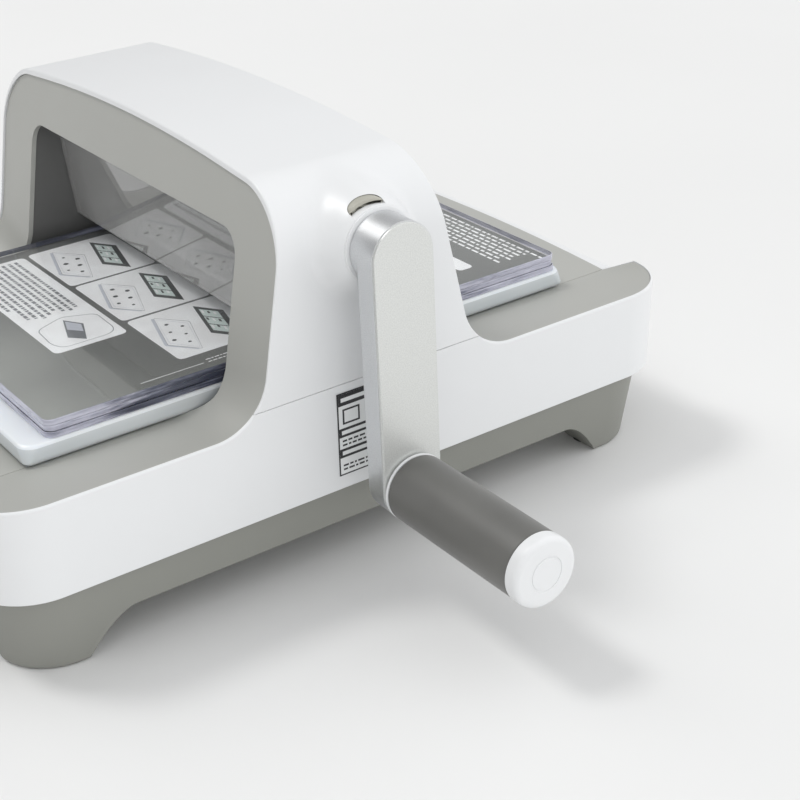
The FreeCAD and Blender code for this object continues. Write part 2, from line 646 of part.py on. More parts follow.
def spur_gear(module, teeth, bore, z, phase_deg):
    """Spur gear on an axis along X; phase_deg is where a tooth's centre points, from +Y to +Z."""
    pts = []
    for k in range(teeth):
        centre = math.radians(phase_deg) + 2 * math.pi * k / teeth
        for r, a in tooth_outline(module, teeth):
            pts.append((r * math.cos(centre + a), z + r * math.sin(centre + a)))
    hub = rod_x(GEAR_X - OVER, GEAR_X1 + OVER, bore + GEAR_HUB, 0, z)
    wheel = prism_yz(pts, GEAR_X, GEAR_X1).fuse(hub)
    return wheel.cut(rod_x(GEAR_X - 2 * OVER, GEAR_X1 + 2 * OVER, bore, 0, z)).removeSplitter()


def lightened(gear, z, ring_r, hole_r, count=6):
    """Round windows in a gear's web."""
    for y, hole_z in arc_points(0, z, ring_r, 180 / count, 540 - 180 / count, count)[:count]:
        gear = gear.cut(rod_x(GEAR_X - OVER, GEAR_X1 + OVER, hole_r, y, hole_z))
    return gear


def roller(z, right_end):
    """Steel drum with turned journals; the left one carries the sync gear."""
    drum = rod_x(-ROLLER_HALF_W, ROLLER_HALF_W, ROLLER_R, 0, z)
    shoulder_x = ROLLER_HALF_W + ROLLER_STEP
    shoulder = rod_x(-shoulder_x, shoulder_x, JOURNAL_R + 2.5, 0, z)
    journal = rod_x(-GEAR_X1 - JOURNAL_END, right_end, JOURNAL_R, 0, z)
    return drum.fuse([shoulder, journal]).removeSplitter()


def circlip(x0, shaft_r, z):
    """Retaining ring round the end of a shaft, open at one side."""
    ring = tube_x(x0, x0 + CLIP_T, shaft_r + CLIP_W, shaft_r, 0, z)
    mouth = CLIP_W / 2
    return ring.cut(box(x0 - OVER, x0 + CLIP_T + OVER, -mouth, mouth, z - shaft_r - 2 * CLIP_W, z))


# ---- crank ---------------------------------------------------------------------------------
def crank_turned(shape):
    """Leans the crank's outer parts as they hang at rest."""
    turned = shape.copy()
    turned.rotate(V(0, 0, CRANK_Z), X_AXIS, CRANK_LEAN)
    return turned


def square_end(x0):
    half = SQUARE / 2
    return box(x0, SQUARE_X1, -half, half, CRANK_Z - half, CRANK_Z + half)


def crank_shaft():
    round_part = rod_x(FRAME_X0 - BUSH_FLANGE_T / 2 - 0.5, SHAFT_X1, SHAFT_R, 0, CRANK_Z)
    return crank_turned(round_part.fuse(square_end(SQUARE_X0)).removeSplitter())


def crank_arm():
    """Cast arm with a deeper hub, a square socket and a socket for the handle's spindle."""
    bar = stadium(ARM_X0, ARM_X1, ARM_R, CRANK_Z, HANDLE_Z)
    bar = round_edges(bar, 1.0, lambda e: e.BoundBox.XMax < ARM_X0 + 0.1)
    hub = rod_x(HUB_X0, ARM_X0 + 2, ARM_R, 0, CRANK_Z)
    neck = rod_x(NECK_X0, SHAFT_X1, NECK_R, 0, CRANK_Z)
    arm = bar.fuse([hub, neck])
    arm = arm.cut(rod_x(NECK_X0 - OVER, SHAFT_X1, SHAFT_R, 0, CRANK_Z)).cut(square_end(SQUARE_X0 - OVER))
    arm = arm.cut(rod_x(SQUARE_X1 - 0.1, ARM_X1 + OVER, HUB_SCREW_R + NEST, 0, CRANK_Z))
    arm = arm.cut(rod_x(ARM_X0 + 2, ARM_X1 + OVER, SPINDLE_R, 0, HANDLE_Z))
    return crank_turned(arm.removeSplitter())


def arm_face():
    """Thin inlay over the arm that hides the hub screw; the spindle passes through it."""
    inlay = stadium(ARM_X1, ARM_X1 + FACE_T, ARM_R - 0.5, CRANK_Z, HANDLE_Z)
    return crank_turned(inlay.cut(rod_x(ARM_X1 - OVER, ARM_X1 + FACE_T + OVER, SPINDLE_R, 0, HANDLE_Z)))


def socket_head(x0, x1, r, socket_r, z):
    """Screw head along X with a round socket to half its depth."""
    return rod_x(x0, x1, r, 0, z).cut(rod_x((x0 + x1) / 2, x1 + OVER, socket_r, 0, z))


def hub_screw():
    """Screw that holds the arm on the shaft's square end."""
    return crank_turned(socket_head(SQUARE_X1, ARM_X1 - 0.5, HUB_SCREW_R, SOCKET_R + 0.5, CRANK_Z))


def handle_spindle():
    return crank_turned(rod_x(ARM_X0 + 2, GRIP_X1 + 1, SPINDLE_R, 0, HANDLE_Z))


def spindle_screw():
    return crank_turned(socket_head(GRIP_X1 + 1, GRIP_X1 + 3.5, CAP_SCREW_R, SOCKET_R, HANDLE_Z))


def grip_ring():
    """White ring at the foot of the grip, on a smaller neck that leaves a dark groove."""
    ring_x1 = GRIP_X0 - GAP
    ring_x0 = ring_x1 - RING_T
    neck = rod_x(ARM_X1 + FACE_T, ring_x0, GRIP_CORE_R, 0, HANDLE_Z)
    ring = rod_x(ring_x0, ring_x1, GRIP_R, 0, HANDLE_Z)
    whole = neck.fuse(ring).cut(rod_x(ARM_X1, GRIP_X0 + OVER, SPINDLE_R, 0, HANDLE_Z))
    return crank_turned(whole.removeSplitter())


def grip_core():
    """Hard tube that turns on the spindle."""
    return crank_turned(tube_x(GRIP_X0, GRIP_X1 + 0.4, GRIP_CORE_R, SPINDLE_R + RUN, 0, HANDLE_Z))


def grip_sleeve():
    """Soft sleeve over the core, with rounded ends."""
    sleeve = tube_x(GRIP_X0, GRIP_X1, GRIP_R, GRIP_CORE_R, 0, HANDLE_Z)

    def outer_rim(edge):
        return edge.Curve.TypeId == "Part::GeomCircle" and edge.Curve.Radius > GRIP_R - 0.1

    return crank_turned(round_edges(sleeve, 0.6, outer_rim))


def grip_end_cap():
    """White cap snapped into the end of the grip, hollow over the spindle's screw."""
    cap = rod_x(GRIP_X1 + NEST, CAP_X1, GRIP_R + 0.1, 0, HANDLE_Z)
    cap = round_edges(cap, CAP_ROUND, lambda e: abs(e.CenterOfMass.x - CAP_X1) < 0.01)
    return crank_turned(cap.cut(rod_x(GRIP_X1 - OVER, CAP_X1 - CAP_ROUND, GRIP_CORE_R, 0, HANDLE_Z)))


# ---- release button ------------------------------------------------------------------------
def release_button():
    """Crescent that stands out of the flare, with an inner lug for its return spring."""
    tab = crescent(BUTTON_X0, BUTTON_X1, BUTTON_R0, BUTTON_R1, BUTTON_HALF_DEG)
    lug = crescent(BUTTON_X0, BUTTON_X0 + WALL, BUTTON_LUG_R, BUTTON_R0 + 0.5, BUTTON_HALF_DEG - 4)
    whole = tab.fuse(lug).removeSplitter()
    return round_edges(whole, BUTTON_ROUND, lambda e: abs(e.CenterOfMass.x - BUTTON_X1) < 0.01)


def button_spring():
    """Compression spring between the outer plate's seat and the button's lug."""
    length = BUTTON_X0 - SPRING_X0 - 2 * SPRING_WIRE_R
    helix = Part.makeHelix(length / SPRING_TURNS, length, SPRING_R)
    wire = Part.Wire(Part.makeCircle(SPRING_WIRE_R, V(SPRING_R, 0, 0), Y_AXIS))
    coil = Part.Wire(helix.Edges).makePipeShell([wire], True, True)
    coil.rotate(V(0, 0, 0), Y_AXIS, 90)
    coil.translate(V(SPRING_X0 + SPRING_WIRE_R, 0, SPRING_Z))
    return coil


# ---- plates --------------------------------------------------------------------------------
def platform():
    """Raised platform that carries the plates through the rollers, with softened edges."""
    plan = (PLATFORM_HALF_W, PLATFORM_HALF_L, STACK_R + 1)
    block = drafted_block([(*plan, z, PLATFORM_Y) for z in (PLATFORM_Z0, PLATFORM_Z1)])
    block = round_edges(block, 2.5, lambda e: e.BoundBox.ZMax < PLATFORM_Z0 + 0.01)
    return round_edges(block, 1.5, lambda e: e.BoundBox.ZMin > PLATFORM_Z1 - 0.01)


def plate(z0, thickness, inset):
    """A flat plate of the stack, a little smaller all round by inset."""
    plan = (STACK_HALF_W - inset, STACK_HALF_L - inset, STACK_R)
    return drafted_block([(*plan, z, STACK_Y) for z in (z0, z0 + thickness)])


# ---- build ---------------------------------------------------------------------------------
def save_body():
    skin = white_skin()
    save("lower_shell", lower_shell(skin))
    save("arch_cover", arch_cover(skin))
    save("base_tray", base_tray())
    save("foot_pads", foot_pads())
    save("base_screws", base_screws())
    for name, shape in (("fascia", fascia()), ("bed", deck_bed()), ("guard", guard())):
        save(f"front_{name}", shape)
        save(f"rear_{name}", mirror_y(shape))
    save("liner_right", liner())
    save("liner_left", mirror_x(liner()))
    save("crank_collar", tube_x(*COLLAR_X, COLLAR_R, BOSS_BORE_R, 0, CRANK_Z))
    save("label_plate", label_plate())


def save_frame():
    save("side_frame_right", side_frame(True))
    save("side_frame_left", mirror_x(side_frame(False)))
    save("outer_plate", outer_plate())
    save("frame_spacers", frame_spacers())
    save("tie_rods", tie_rods())
    save("tie_nuts", tie_nuts())
    save("frame_screws", frame_screws())
    for level, z in (("upper", UPPER_Z), ("lower", LOWER_Z)):
        side = bush(FRAME_X0, FRAME_X1, JOURNAL_R + RUN, z)
        save(f"{level}_bush_right", side)
        save(f"{level}_bush_left", mirror_x(side))
    save("crank_bush_inner", bush(FRAME_X0, FRAME_X1, SHAFT_R + RUN, CRANK_Z))
    save("crank_bush_outer", bush(OUTER_X0, OUTER_X1, SHAFT_R + RUN, CRANK_Z, False))


def save_rollers():
    save("upper_roller", roller(UPPER_Z, GEAR_X1 + JOURNAL_END))
    save("lower_roller", roller(LOWER_Z, FRAME_X1 + CLIP_T + 2.8))
    drive = spur_gear(DRIVE_MODULE, DRIVE_TEETH, JOURNAL_R, UPPER_Z, 90 + 180 / DRIVE_TEETH)
    save("drive_gear", lightened(drive, UPPER_Z, 22.0, 5.5))
    save("crank_pinion", spur_gear(DRIVE_MODULE, PINION_TEETH, SHAFT_R, CRANK_Z, -90))
    upper_sync = spur_gear(SYNC_MODULE, SYNC_TEETH, JOURNAL_R, UPPER_Z, -90)
    lower_sync = spur_gear(SYNC_MODULE, SYNC_TEETH, JOURNAL_R, LOWER_Z, 90 + 180 / SYNC_TEETH)
    save("sync_gear_upper", mirror_x(lightened(upper_sync, UPPER_Z, 18.5, 4.0)))
    save("sync_gear_lower", mirror_x(lightened(lower_sync, LOWER_Z, 18.5, 4.0)))
    at_gear, at_frame = GEAR_X1 + CLIP_T, FRAME_X1 + 0.5
    upper_clip = circlip(at_gear, JOURNAL_R, UPPER_Z)
    save("upper_roller_clips", Part.makeCompound([upper_clip, mirror_x(upper_clip)]))
    lower_clips = [circlip(at_frame, JOURNAL_R, LOWER_Z), mirror_x(circlip(at_gear, JOURNAL_R, LOWER_Z))]
    save("lower_roller_clips", Part.makeCompound(lower_clips))


def save_crank():
    for piece in (crank_shaft, crank_arm, arm_face, hub_screw, handle_spindle, spindle_screw,
                  grip_ring, grip_core, grip_sleeve, grip_end_cap, release_button, button_spring):
        save(piece.__name__, piece())


def save_plates():
    save("platform", platform())
    save("pad_lower", plate(PLATFORM_Z1, PAD_PLATE_T, 0.0))
    save("pad_middle", plate(PLATFORM_Z1 + PAD_PLATE_T, PAD_PLATE_T, 0.6))
    save("print_card", plate(PLATFORM_Z1 + 2 * PAD_PLATE_T, CARD_T, 1.5))
    save("pad_top", plate(PLATFORM_Z1 + 2 * PAD_PLATE_T + CARD_T, PAD_PLATE_T, 0.3))


def main():
    os.makedirs("parts", exist_ok=True)
    save_body()
    save_frame()
    save_rollers()
    save_crank()
    save_plates()
    print("crank height", round(CRANK_Z, 3), "handle height", round(HANDLE_Z, 3))
    print("roller heights", round(UPPER_Z, 3), round(LOWER_Z, 3), "stack top", round(STACK_TOP_Z, 3))
    print("plates per crank radian", round(ROLLER_R * PINION_TEETH / DRIVE_TEETH, 5))


main()
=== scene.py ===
import json
import math

import bmesh
import bpy
import numpy as np
from mathutils import Matrix, Vector

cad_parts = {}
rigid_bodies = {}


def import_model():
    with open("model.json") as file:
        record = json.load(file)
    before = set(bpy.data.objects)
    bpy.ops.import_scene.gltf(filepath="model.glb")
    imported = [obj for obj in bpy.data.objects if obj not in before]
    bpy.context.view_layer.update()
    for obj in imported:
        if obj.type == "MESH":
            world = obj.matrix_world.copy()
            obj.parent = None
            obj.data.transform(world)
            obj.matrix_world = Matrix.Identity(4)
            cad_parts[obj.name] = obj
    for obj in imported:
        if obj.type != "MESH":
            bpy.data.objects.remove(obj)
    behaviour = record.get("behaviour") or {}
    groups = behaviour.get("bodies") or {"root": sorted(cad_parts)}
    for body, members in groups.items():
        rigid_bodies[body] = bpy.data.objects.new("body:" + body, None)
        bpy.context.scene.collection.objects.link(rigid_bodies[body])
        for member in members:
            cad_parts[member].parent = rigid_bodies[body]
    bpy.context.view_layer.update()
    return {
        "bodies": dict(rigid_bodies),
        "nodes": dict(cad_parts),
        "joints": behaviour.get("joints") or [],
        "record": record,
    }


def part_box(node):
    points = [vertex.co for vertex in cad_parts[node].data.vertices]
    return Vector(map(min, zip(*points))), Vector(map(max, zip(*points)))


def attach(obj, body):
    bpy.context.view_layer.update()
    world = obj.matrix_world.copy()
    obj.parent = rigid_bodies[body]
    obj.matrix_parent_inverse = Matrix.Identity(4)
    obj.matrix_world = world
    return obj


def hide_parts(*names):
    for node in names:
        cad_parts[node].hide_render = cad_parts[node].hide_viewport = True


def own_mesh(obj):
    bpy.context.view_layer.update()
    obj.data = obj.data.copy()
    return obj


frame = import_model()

# Die cutting machine: the looks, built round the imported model.
# Lengths are in millimetres, in the row frame: +X to the crank side, +Y along the feed, +Z up.
scene = bpy.context.scene
MM = 0.001


def mm_box(node):
    """Lowest and highest corner of a CAD node, in millimetres."""
    low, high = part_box(node)
    return [c / MM for c in low], [c / MM for c in high]


# ---- sizes -----------------------------------------------------------------------------------
HALF_W, HALF_L, PART_LOW_Z = mm_box("lower_shell")[1]    # the white body, up to the parting line
PART_HIGH_Z, TOP_Z = (corner[2] for corner in mm_box("arch_cover"))
BED_HIGH = mm_box("front_bed")[1]
ARM_HIGH = mm_box("crank_arm")[1]
BAND_Z = 45.7                        # lower edge of the white band
RIM_Z = 95.5
CORNER_R = 36.0
STRAIGHT_Y = HALF_L - CORNER_R       # the long sides are straight this far
DRAFT = 0.045                        # inward slope of the side walls
SHELL_T = 1.3                        # white edge beside the grey parts
CROWN_T = 2.9                        # and over the mouth
SHOULDER_Z = 168.8
SHOULDER_R = 37.1
SHOULDER_X = HALF_W - SHOULDER_R
SHOULDER_END = math.radians(86)
CROWN_FOOT_Z = SHOULDER_Z + SHOULDER_R
FACE_Y = 47.8                        # half length of the arch at SHOULDER_Z
FACE_SLOPE = 0.2
LEAN = math.atan(FACE_SLOPE)
FILLET_R = 30.0                      # fillet at the foot of the arch
FILLET_REACH = FILLET_R * math.tan((math.pi / 2 - LEAN) / 2)
ARCH_FOOT_Y = FACE_Y + FACE_SLOPE * (SHOULDER_Z - RIM_Z) + FILLET_REACH
DECK_Z = BED_HIGH[2]
DECK_HALF_W = BED_HIGH[0] - 2.4      # the crease between the tray's flat and its flanges
FLANGE_Z = RIM_Z - 0.5               # the tray's slope where it meets the white edge
FLANGE_GAP = 0.2                     # dark joint between the grey flange and the white edge
FASCIA_INSET = 1.2                   # the bezel stands back inside the white edge
FASCIA_T = 2.4
MOUTH_HALF_W = 116.2
MOUTH_TOP_Z = 177.5
MOUTH_R = 13.0
ARM_R = 17.0
CRANK_Z = ARM_HIGH[2] - ARM_R
CRANK_LENGTH = 118.3
CRANK_LEAN = math.radians(-0.4)
FLARE_X = 168.0
FLARE_R = 19.0                       # at its tip, and where it leaves the cover
FLARE_ROOT_R = 31.5
FLARE_ROOT_RISE = 1.5
BORE_R = 14.0
PASSAGE_TOP_Z = 181.5
LINER_GAP = 0.5
LINER_T = 2.0
JOURNAL_HOLE_R = 12.0
TRAY_END_Y = 198.0                   # the tray's flat ends here on the centre line
TRAY_BOW = 4.6                       # and this much sooner at its edges
LIP_DEPTH = 3.0                      # how far the fascia's lips turn in

BUTTON_X0 = mm_box("release_button")[0][0]
BUTTON_X1 = 166.0
BUTTON_R0 = 19.7
BUTTON_THICK = (2.8, 1.9)            # in the middle and near the ends
BUTTON_MIDDLE = 101.0                # degrees from +Y: a little to the front of straight up
BUTTON_HALF = 26.0
BUTTON_TILT = 0.13                   # its face drops back towards the front, with the flare
SLOT_GAP = 0.28
SPRING_WIRE_R = 0.35
SPRING_TURNS = 5
STEPS_PER_TURN = 24

BASE_INSET = 5.2
BASE_DRAFT = 0.18
BASE_CORNER_R = CORNER_R + 8
SKIRT_Z = 23.2
FOOT_Z = 0.2
FOOT_FRONT_Y = (132.0, 158.7)        # where a foot's curve leaves the skirt, and where it ends
FOOT_REAR_Y = (131.0, 156.0)
FOOT_X = (96.0, 118.0)
FOOT_CURVE = 1.8

ARM_X0, ARM_X1 = 175.0, ARM_HIGH[0]
HUB_X0 = 169.3
COLLAR_R = 18.9
GRIP_R = 17.4
HANDLE_Z = CRANK_Z - CRANK_LENGTH
STACK_R = 5.0                        # the plates' corners; the platform's grow with the height
PLATFORM_R = (2.5, 9.0)
SHEET_GAP = 0.02                     # hair's breadth between stacked sheets

FLOOR_SIZE = 9000.0
CAMERA_PLACE = (749.3, -384.0, 454.3)
CAMERA_RIGHT = (0.5773, 0.8152, -0.0456)
CAMERA_FORWARD = (-0.7370, 0.4962, -0.4590)
CAMERA_LENS = 73.29
SKY_LEVEL = 0.81
SKY_SLOPE = (0.70, 0.40, 0.0)        # the studio is brighter behind and to the right of the machine


# ---- mesh helpers ----------------------------------------------------------------------------
def lerp(a, b, t):
    return a + (b - a) * t


def smooth(t):
    t = min(max(t, 0.0), 1.0)
    return t * t * (3 - 2 * t)


def link(name, mesh):
    obj = bpy.data.objects.new(name, mesh)
    scene.collection.objects.link(obj)
    return obj


def plan_box(node):
    """Half width, half length, middle along Y, and lowest and highest Z of a CAD node."""
    low, high = mm_box(node)
    return (high[0] - low[0]) / 2, (high[1] - low[1]) / 2, (high[1] + low[1]) / 2, low[2], high[2]


def raw_mesh(name, points, faces, marks=None):
    """A welded mesh from points in millimetres; marks are its faces' material numbers."""
    mesh = bpy.data.meshes.new(name)
    mesh.from_pydata([tuple(c * MM for c in p) for p in points], [], faces)
    if marks is not None:
        mesh.polygons.foreach_set("material_index", marks)
    bm = bmesh.new()
    bm.from_mesh(mesh)
    bmesh.ops.remove_doubles(bm, verts=bm.verts, dist=1e-7)
    bmesh.ops.dissolve_degenerate(bm, edges=bm.edges, dist=1e-8)
    bmesh.ops.recalc_face_normals(bm, faces=bm.faces)
    bm.to_mesh(mesh)
    bm.free()
    return mesh


def soften(obj, width, segments=3, angle=35, weight=None):
    """Rounds the sharp edges; weight, a function of an edge's middle, scales the width."""
    if weight is not None:
        bm = bmesh.new()
        bm.from_mesh(obj.data)
        layer = bm.edges.layers.float.new("bevel_weight_edge")
        for edge in bm.edges:
            sharp = len(edge.link_faces) == 2 and edge.calc_face_angle() > math.radians(angle)
            middle = (edge.verts[0].co + edge.verts[1].co) / 2 / MM
            edge[layer] = weight(middle) if sharp else 0.0
        bm.to_mesh(obj.data)
        bm.free()
    mod = obj.modifiers.new("round", "BEVEL")
    mod.width = width * MM
    mod.segments = segments
    mod.limit_method = "ANGLE" if weight is None else "WEIGHT"
    mod.angle_limit = math.radians(angle)
    mod.use_clamp_overlap = True
    return obj


def freeze(obj, sharp=40):
    """Applies the modifiers, and shades smooth except over the sharp edges that are left."""
    graph = bpy.context.evaluated_depsgraph_get()
    mesh = bpy.data.meshes.new_from_object(obj.evaluated_get(graph))
    obj.modifiers.clear()
    obj.data = mesh
    mesh.shade_smooth()
    mesh.set_sharp_from_angle(angle=math.radians(sharp))
    obj.modifiers.new("even_shading", "WEIGHTED_NORMAL").keep_sharp = True
    return obj


def piece(obj, body, slot, materials, *nodes):
    """Puts a finished object on its body, with its finish, in place of the CAD nodes."""
    marks = np.zeros(len(obj.data.polygons), dtype=np.int32)
    obj.data.polygons.foreach_get("material_index", marks)
    obj.data.materials.clear()
    for material in materials if isinstance(materials, (list, tuple)) else [materials]:
        obj.data.materials.append(material)
    obj.data.polygons.foreach_set("material_index", marks)
    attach(obj, body)
    if nodes:
        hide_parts(*nodes)
    return obj


def loft(rings, path_closed=False):
    """Points and faces through closed rings of equal count."""
    n = len(rings[0])
    points = [p for ring in rings for p in ring]
    spans = len(rings) if path_closed else len(rings) - 1
    faces = []
    for i in range(spans):
        a, b = i * n, (i + 1) % len(rings) * n
        for j in range(n):
            k = (j + 1) % n
            faces.append((a + j, a + k, b + k, b + j))
    if not path_closed:
        faces.append(tuple(reversed(range(n))))
        faces.append(tuple(range((len(rings) - 1) * n, len(rings) * n)))
    return points, faces


def lofted(name, rings, marks=None, path_closed=False):
    """An object lofted through closed rings."""
    points, faces = loft(rings, path_closed)
    return link(name, raw_mesh(name, points, faces, marks))


def along_x(outline, ends):
    """Rings that carry an outline of (y, z) points from one x to the next."""
    return [[(x, y, z) for y, z in outline] for x in ends]


def cut_out(obj, tools):
    """Cuts the tools out of an object, and removes them."""
    obj.modifiers.clear()
    for tool in tools:
        cut = obj.modifiers.new(tool.name, "BOOLEAN")
        cut.object = tool
        cut.operation = "DIFFERENCE"
        cut.solver = "EXACT"
    bpy.context.view_layer.update()
    freeze(obj)
    for tool in tools:
        bpy.data.objects.remove(tool)


def circle(radius, steps, a=0.0, b=0.0):
    """Points (a, b) on a circle."""
    angles = [2 * math.pi * i / steps for i in range(steps)]
    return [(a + radius * math.cos(t), b + radius * math.sin(t)) for t in angles]


def turned(profile, z, steps=96):
    """Rings of a body of revolution about a line along X; profile holds (x, radius)."""
    return [[(x, u, v) for u, v in circle(r, steps, 0.0, z)] for x, r in profile]


def arc(cu, cv, r, a0, a1, steps):
    """Points on an arc, angles in degrees."""
    angles = [math.radians(lerp(a0, a1, i / steps)) for i in range(steps + 1)]
    return [(cu + r * math.cos(a), cv + r * math.sin(a)) for a in angles]


def rounded_plan(hw, hl, r, cy=0.0, steps=10):
    """Outline of a rounded rectangle as (x, y) points."""
    pts = []
    for sx, sy, a0 in ((1, 1, 0), (-1, 1, 90), (-1, -1, 180), (1, -1, 270)):
        pts += arc(sx * (hw - r), cy + sy * (hl - r), r, a0, a0 + 90, steps)
    return pts


def leaned(points):
    """Turns points about the crank's axis by the angle at which the crank hangs."""
    c, s = math.cos(CRANK_LEAN), math.sin(CRANK_LEAN)
    shifted = [(x, y, z - CRANK_Z) for x, y, z in points]
    return [(x, y * c - dz * s, CRANK_Z + y * s + dz * c) for x, y, dz in shifted]


def leaned_piece(name, rings, slot, material, node, body="crank", sharp=40, soft=None):
    """A lofted piece of the crank, turned to the crank's lean."""
    obj = lofted(name, [leaned(ring) for ring in rings])
    if soft is not None:
        soften(obj, 1.0, segments=4, weight=soft)
    freeze(obj, sharp)
    piece(obj, body, slot, material, node)


# ---- materials -------------------------------------------------------------------------------
class Nodes:
    """A small wrapper for building one material's node tree."""

    def __init__(self, name):
        self.material = bpy.data.materials.new(name)
        self.material.use_nodes = True
        self.tree = self.material.node_tree
        self.tree.nodes.clear()
        self.out = self.add("ShaderNodeOutputMaterial")

    def add(self, kind, inputs=None, **settings):
        node = self.tree.nodes.new(kind)
        for key, value in settings.items():
            setattr(node, key, value)
        for key, value in (inputs or {}).items():
            if isinstance(value, bpy.types.NodeSocket):
                self.tree.links.new(value, node.inputs[key])
            else:
                node.inputs[key].default_value = value
        return node

    def where(self):
        return self.add("ShaderNodeTexCoord").outputs["Object"]

    def scaled(self, scale):
        return self.add("ShaderNodeMapping", {"Vector": self.where(), "Scale": scale}).outputs["Vector"]

    def noise(self, scale, detail=3.0, vector=None, roughness=0.5):
        return self.add("ShaderNodeTexNoise", {
            "Vector": vector or self.where(), "Scale": scale, "Detail": detail,
            "Roughness": roughness}).outputs["Fac"]

    def ramp(self, fac, stops):
        node = self.add("ShaderNodeValToRGB", {"Fac": fac})
        elements = node.color_ramp.elements
        while len(elements) < len(stops):
            elements.new(0.5)
        for element, (position, colour) in zip(elements, stops):
            element.position = position
            element.color = (*colour, 1.0)
        return node.outputs["Color"]

    def spread(self, fac, low, high):
        node = self.add("ShaderNodeMapRange", {"Value": fac, "To Min": low, "To Max": high})
        return node.outputs["Result"]

    def mottle(self, scale, detail, low, high):
        """Slow change between two colours."""
        return self.ramp(self.noise(scale, detail), [(0.3, low), (0.7, high)])

    def bump(self, height, distance):
        inputs = {"Height": height, "Distance": distance * MM, "Strength": 1.0}
        return self.add("ShaderNodeBump", inputs).outputs["Normal"]

    def calc(self, operation, *values):
        return self.add("ShaderNodeMath", dict(enumerate(values)), operation=operation).outputs[0]

    def along_y(self):
        return self.add("ShaderNodeSeparateXYZ", {0: self.where()}).outputs["Y"]

    def finish(self, shader):
        self.tree.links.new(shader, self.out.inputs["Surface"])
        return self.material

    def principled(self, inputs):
        return self.finish(self.add("ShaderNodeBsdfPrincipled", inputs).outputs[0])


def shade(colour, factor):
    return tuple(min(c * factor, 1.0) for c in colour)


GRAIN_SCALE = 1800.0


def moulded(name, colour, roughness, grain=0.02, spread=0.03, specular=0.5):
    """Moulded plastic: fine spark-eroded grain, and slow changes of tone and gloss."""
    n = Nodes(name)
    return n.principled({
        "Base Color": n.mottle(9.0, 2.0, shade(colour, 1 - spread), shade(colour, 1 + spread)),
        "Roughness": n.spread(n.noise(38.0, 4.0), roughness - 0.05, roughness + 0.05),
        "Normal": n.bump(n.noise(GRAIN_SCALE, 2.0), grain), "Specular IOR Level": specular})


def metal(name, colour, roughness, stretch=(1.0, 1.0, 1.0), grain=0.01, scale=900.0, metallic=1.0):
    """Metal with grain along one direction, set by how the pattern is stretched."""
    n = Nodes(name)
    lines = n.noise(scale, 3.0, n.scaled(stretch))
    tone = n.ramp(lines, [(0.25, shade(colour, 0.9)), (0.75, shade(colour, 1.08))])
    gloss = n.spread(lines, roughness - 0.07, roughness + 0.07)
    return n.principled({
        "Base Color": tone, "Metallic": metallic, "Roughness": gloss, "Normal": n.bump(lines, grain)})


def rubber(name, colour, roughness=0.45):
    """Soft-touch rubber: a fine matt tooth and a faint bloom."""
    n = Nodes(name)
    fine = n.noise(2600.0, 2.0)
    return n.principled({
        "Base Color": n.mottle(30.0, 3.0, shade(colour, 0.94), shade(colour, 1.06)),
        "Roughness": n.spread(fine, roughness - 0.06, roughness + 0.06),
        "Normal": n.bump(fine, 0.02), "Sheen Weight": 0.15, "Sheen Roughness": 0.4})


def clear_sheet(name, tint, haze, gloss, ior, haze_colour=(0.8, 0.82, 0.84)):
    """Thin clear plastic: lets light straight through, mirrors by angle, with a little haze."""
    n = Nodes(name)
    through = n.add("ShaderNodeBsdfTransparent", {"Color": (*tint, 1.0)})
    smudge = n.spread(n.noise(24.0, 5.0), haze * 0.7, haze * 1.3)
    cloud = n.add("ShaderNodeBsdfDiffuse", {"Color": (*haze_colour, 1.0)})
    body = n.add("ShaderNodeMixShader", {0: smudge, 1: through.outputs[0], 2: cloud.outputs[0]})
    mirror = n.add("ShaderNodeBsdfGlossy", {"Color": (1, 1, 1, 1), "Roughness": gloss})
    angle = n.add("ShaderNodeFresnel", {"IOR": ior}).outputs[0]
    front = n.calc("SUBTRACT", 1.0, n.add("ShaderNodeNewGeometry").outputs["Backfacing"])
    amount = n.calc("MULTIPLY", angle, front)
    mixed = n.add("ShaderNodeMixShader", {0: amount, 1: body.outputs[0], 2: mirror.outputs[0]})
    return n.finish(mixed.outputs[0])


WHITE = moulded("white_plastic", (0.80, 0.808, 0.815), 0.32, grain=0.012, spread=0.008)
FASCIA = moulded("fascia_grey_plastic", (0.425, 0.427, 0.4), 0.35, spread=0.02, specular=0.65)
BASE = moulded("base_grey_plastic", (0.265, 0.267, 0.242), 0.5, grain=0.04, spread=0.03)
# near-black liner: painted shade for the inner sides of the mouth
PAINTED_SHADE_LINER = moulded("liner_painted_shade", (0.13, 0.13, 0.127), 0.42, grain=0.03)
GUARD = clear_sheet("guard_panel", (0.80, 0.80, 0.79), 0.30, 0.04, 1.9, haze_colour=(0.74, 0.74, 0.73))
BUTTON = moulded("button_plastic", (0.46, 0.45, 0.39), 0.38, grain=0.015)
STEEL = metal("mild_steel", (0.50, 0.51, 0.52), 0.38, stretch=(1.0, 1.0, 0.15))
ROLLER = metal("ground_steel", (0.58, 0.58, 0.59), 0.24, stretch=(8.0, 1.0, 1.0))
GEAR = metal("oiled_steel", (0.34, 0.34, 0.35), 0.32, stretch=(0.2, 1.0, 1.0))
ZINC = metal("zinc_plate", (0.62, 0.62, 0.64), 0.3, scale=500.0)
BRONZE = metal("sintered_bronze", (0.56, 0.38, 0.18), 0.42, scale=1400.0)
ARM = metal("satin_silver", (0.72, 0.73, 0.74), 0.36, grain=0.02, scale=2400.0)
ARM_FACE = metal("silver_inlay", (0.72, 0.73, 0.71), 0.36, grain=0.01, scale=1600.0, metallic=0.5)
GRIP = rubber("grip_rubber", (0.13, 0.129, 0.121))
FOOT = rubber("foot_rubber", (0.06, 0.06, 0.06), 0.7)
CORE = moulded("nylon", (0.12, 0.12, 0.12), 0.5)
SPRING = metal("spring_wire", (0.45, 0.45, 0.46), 0.3, scale=700.0)


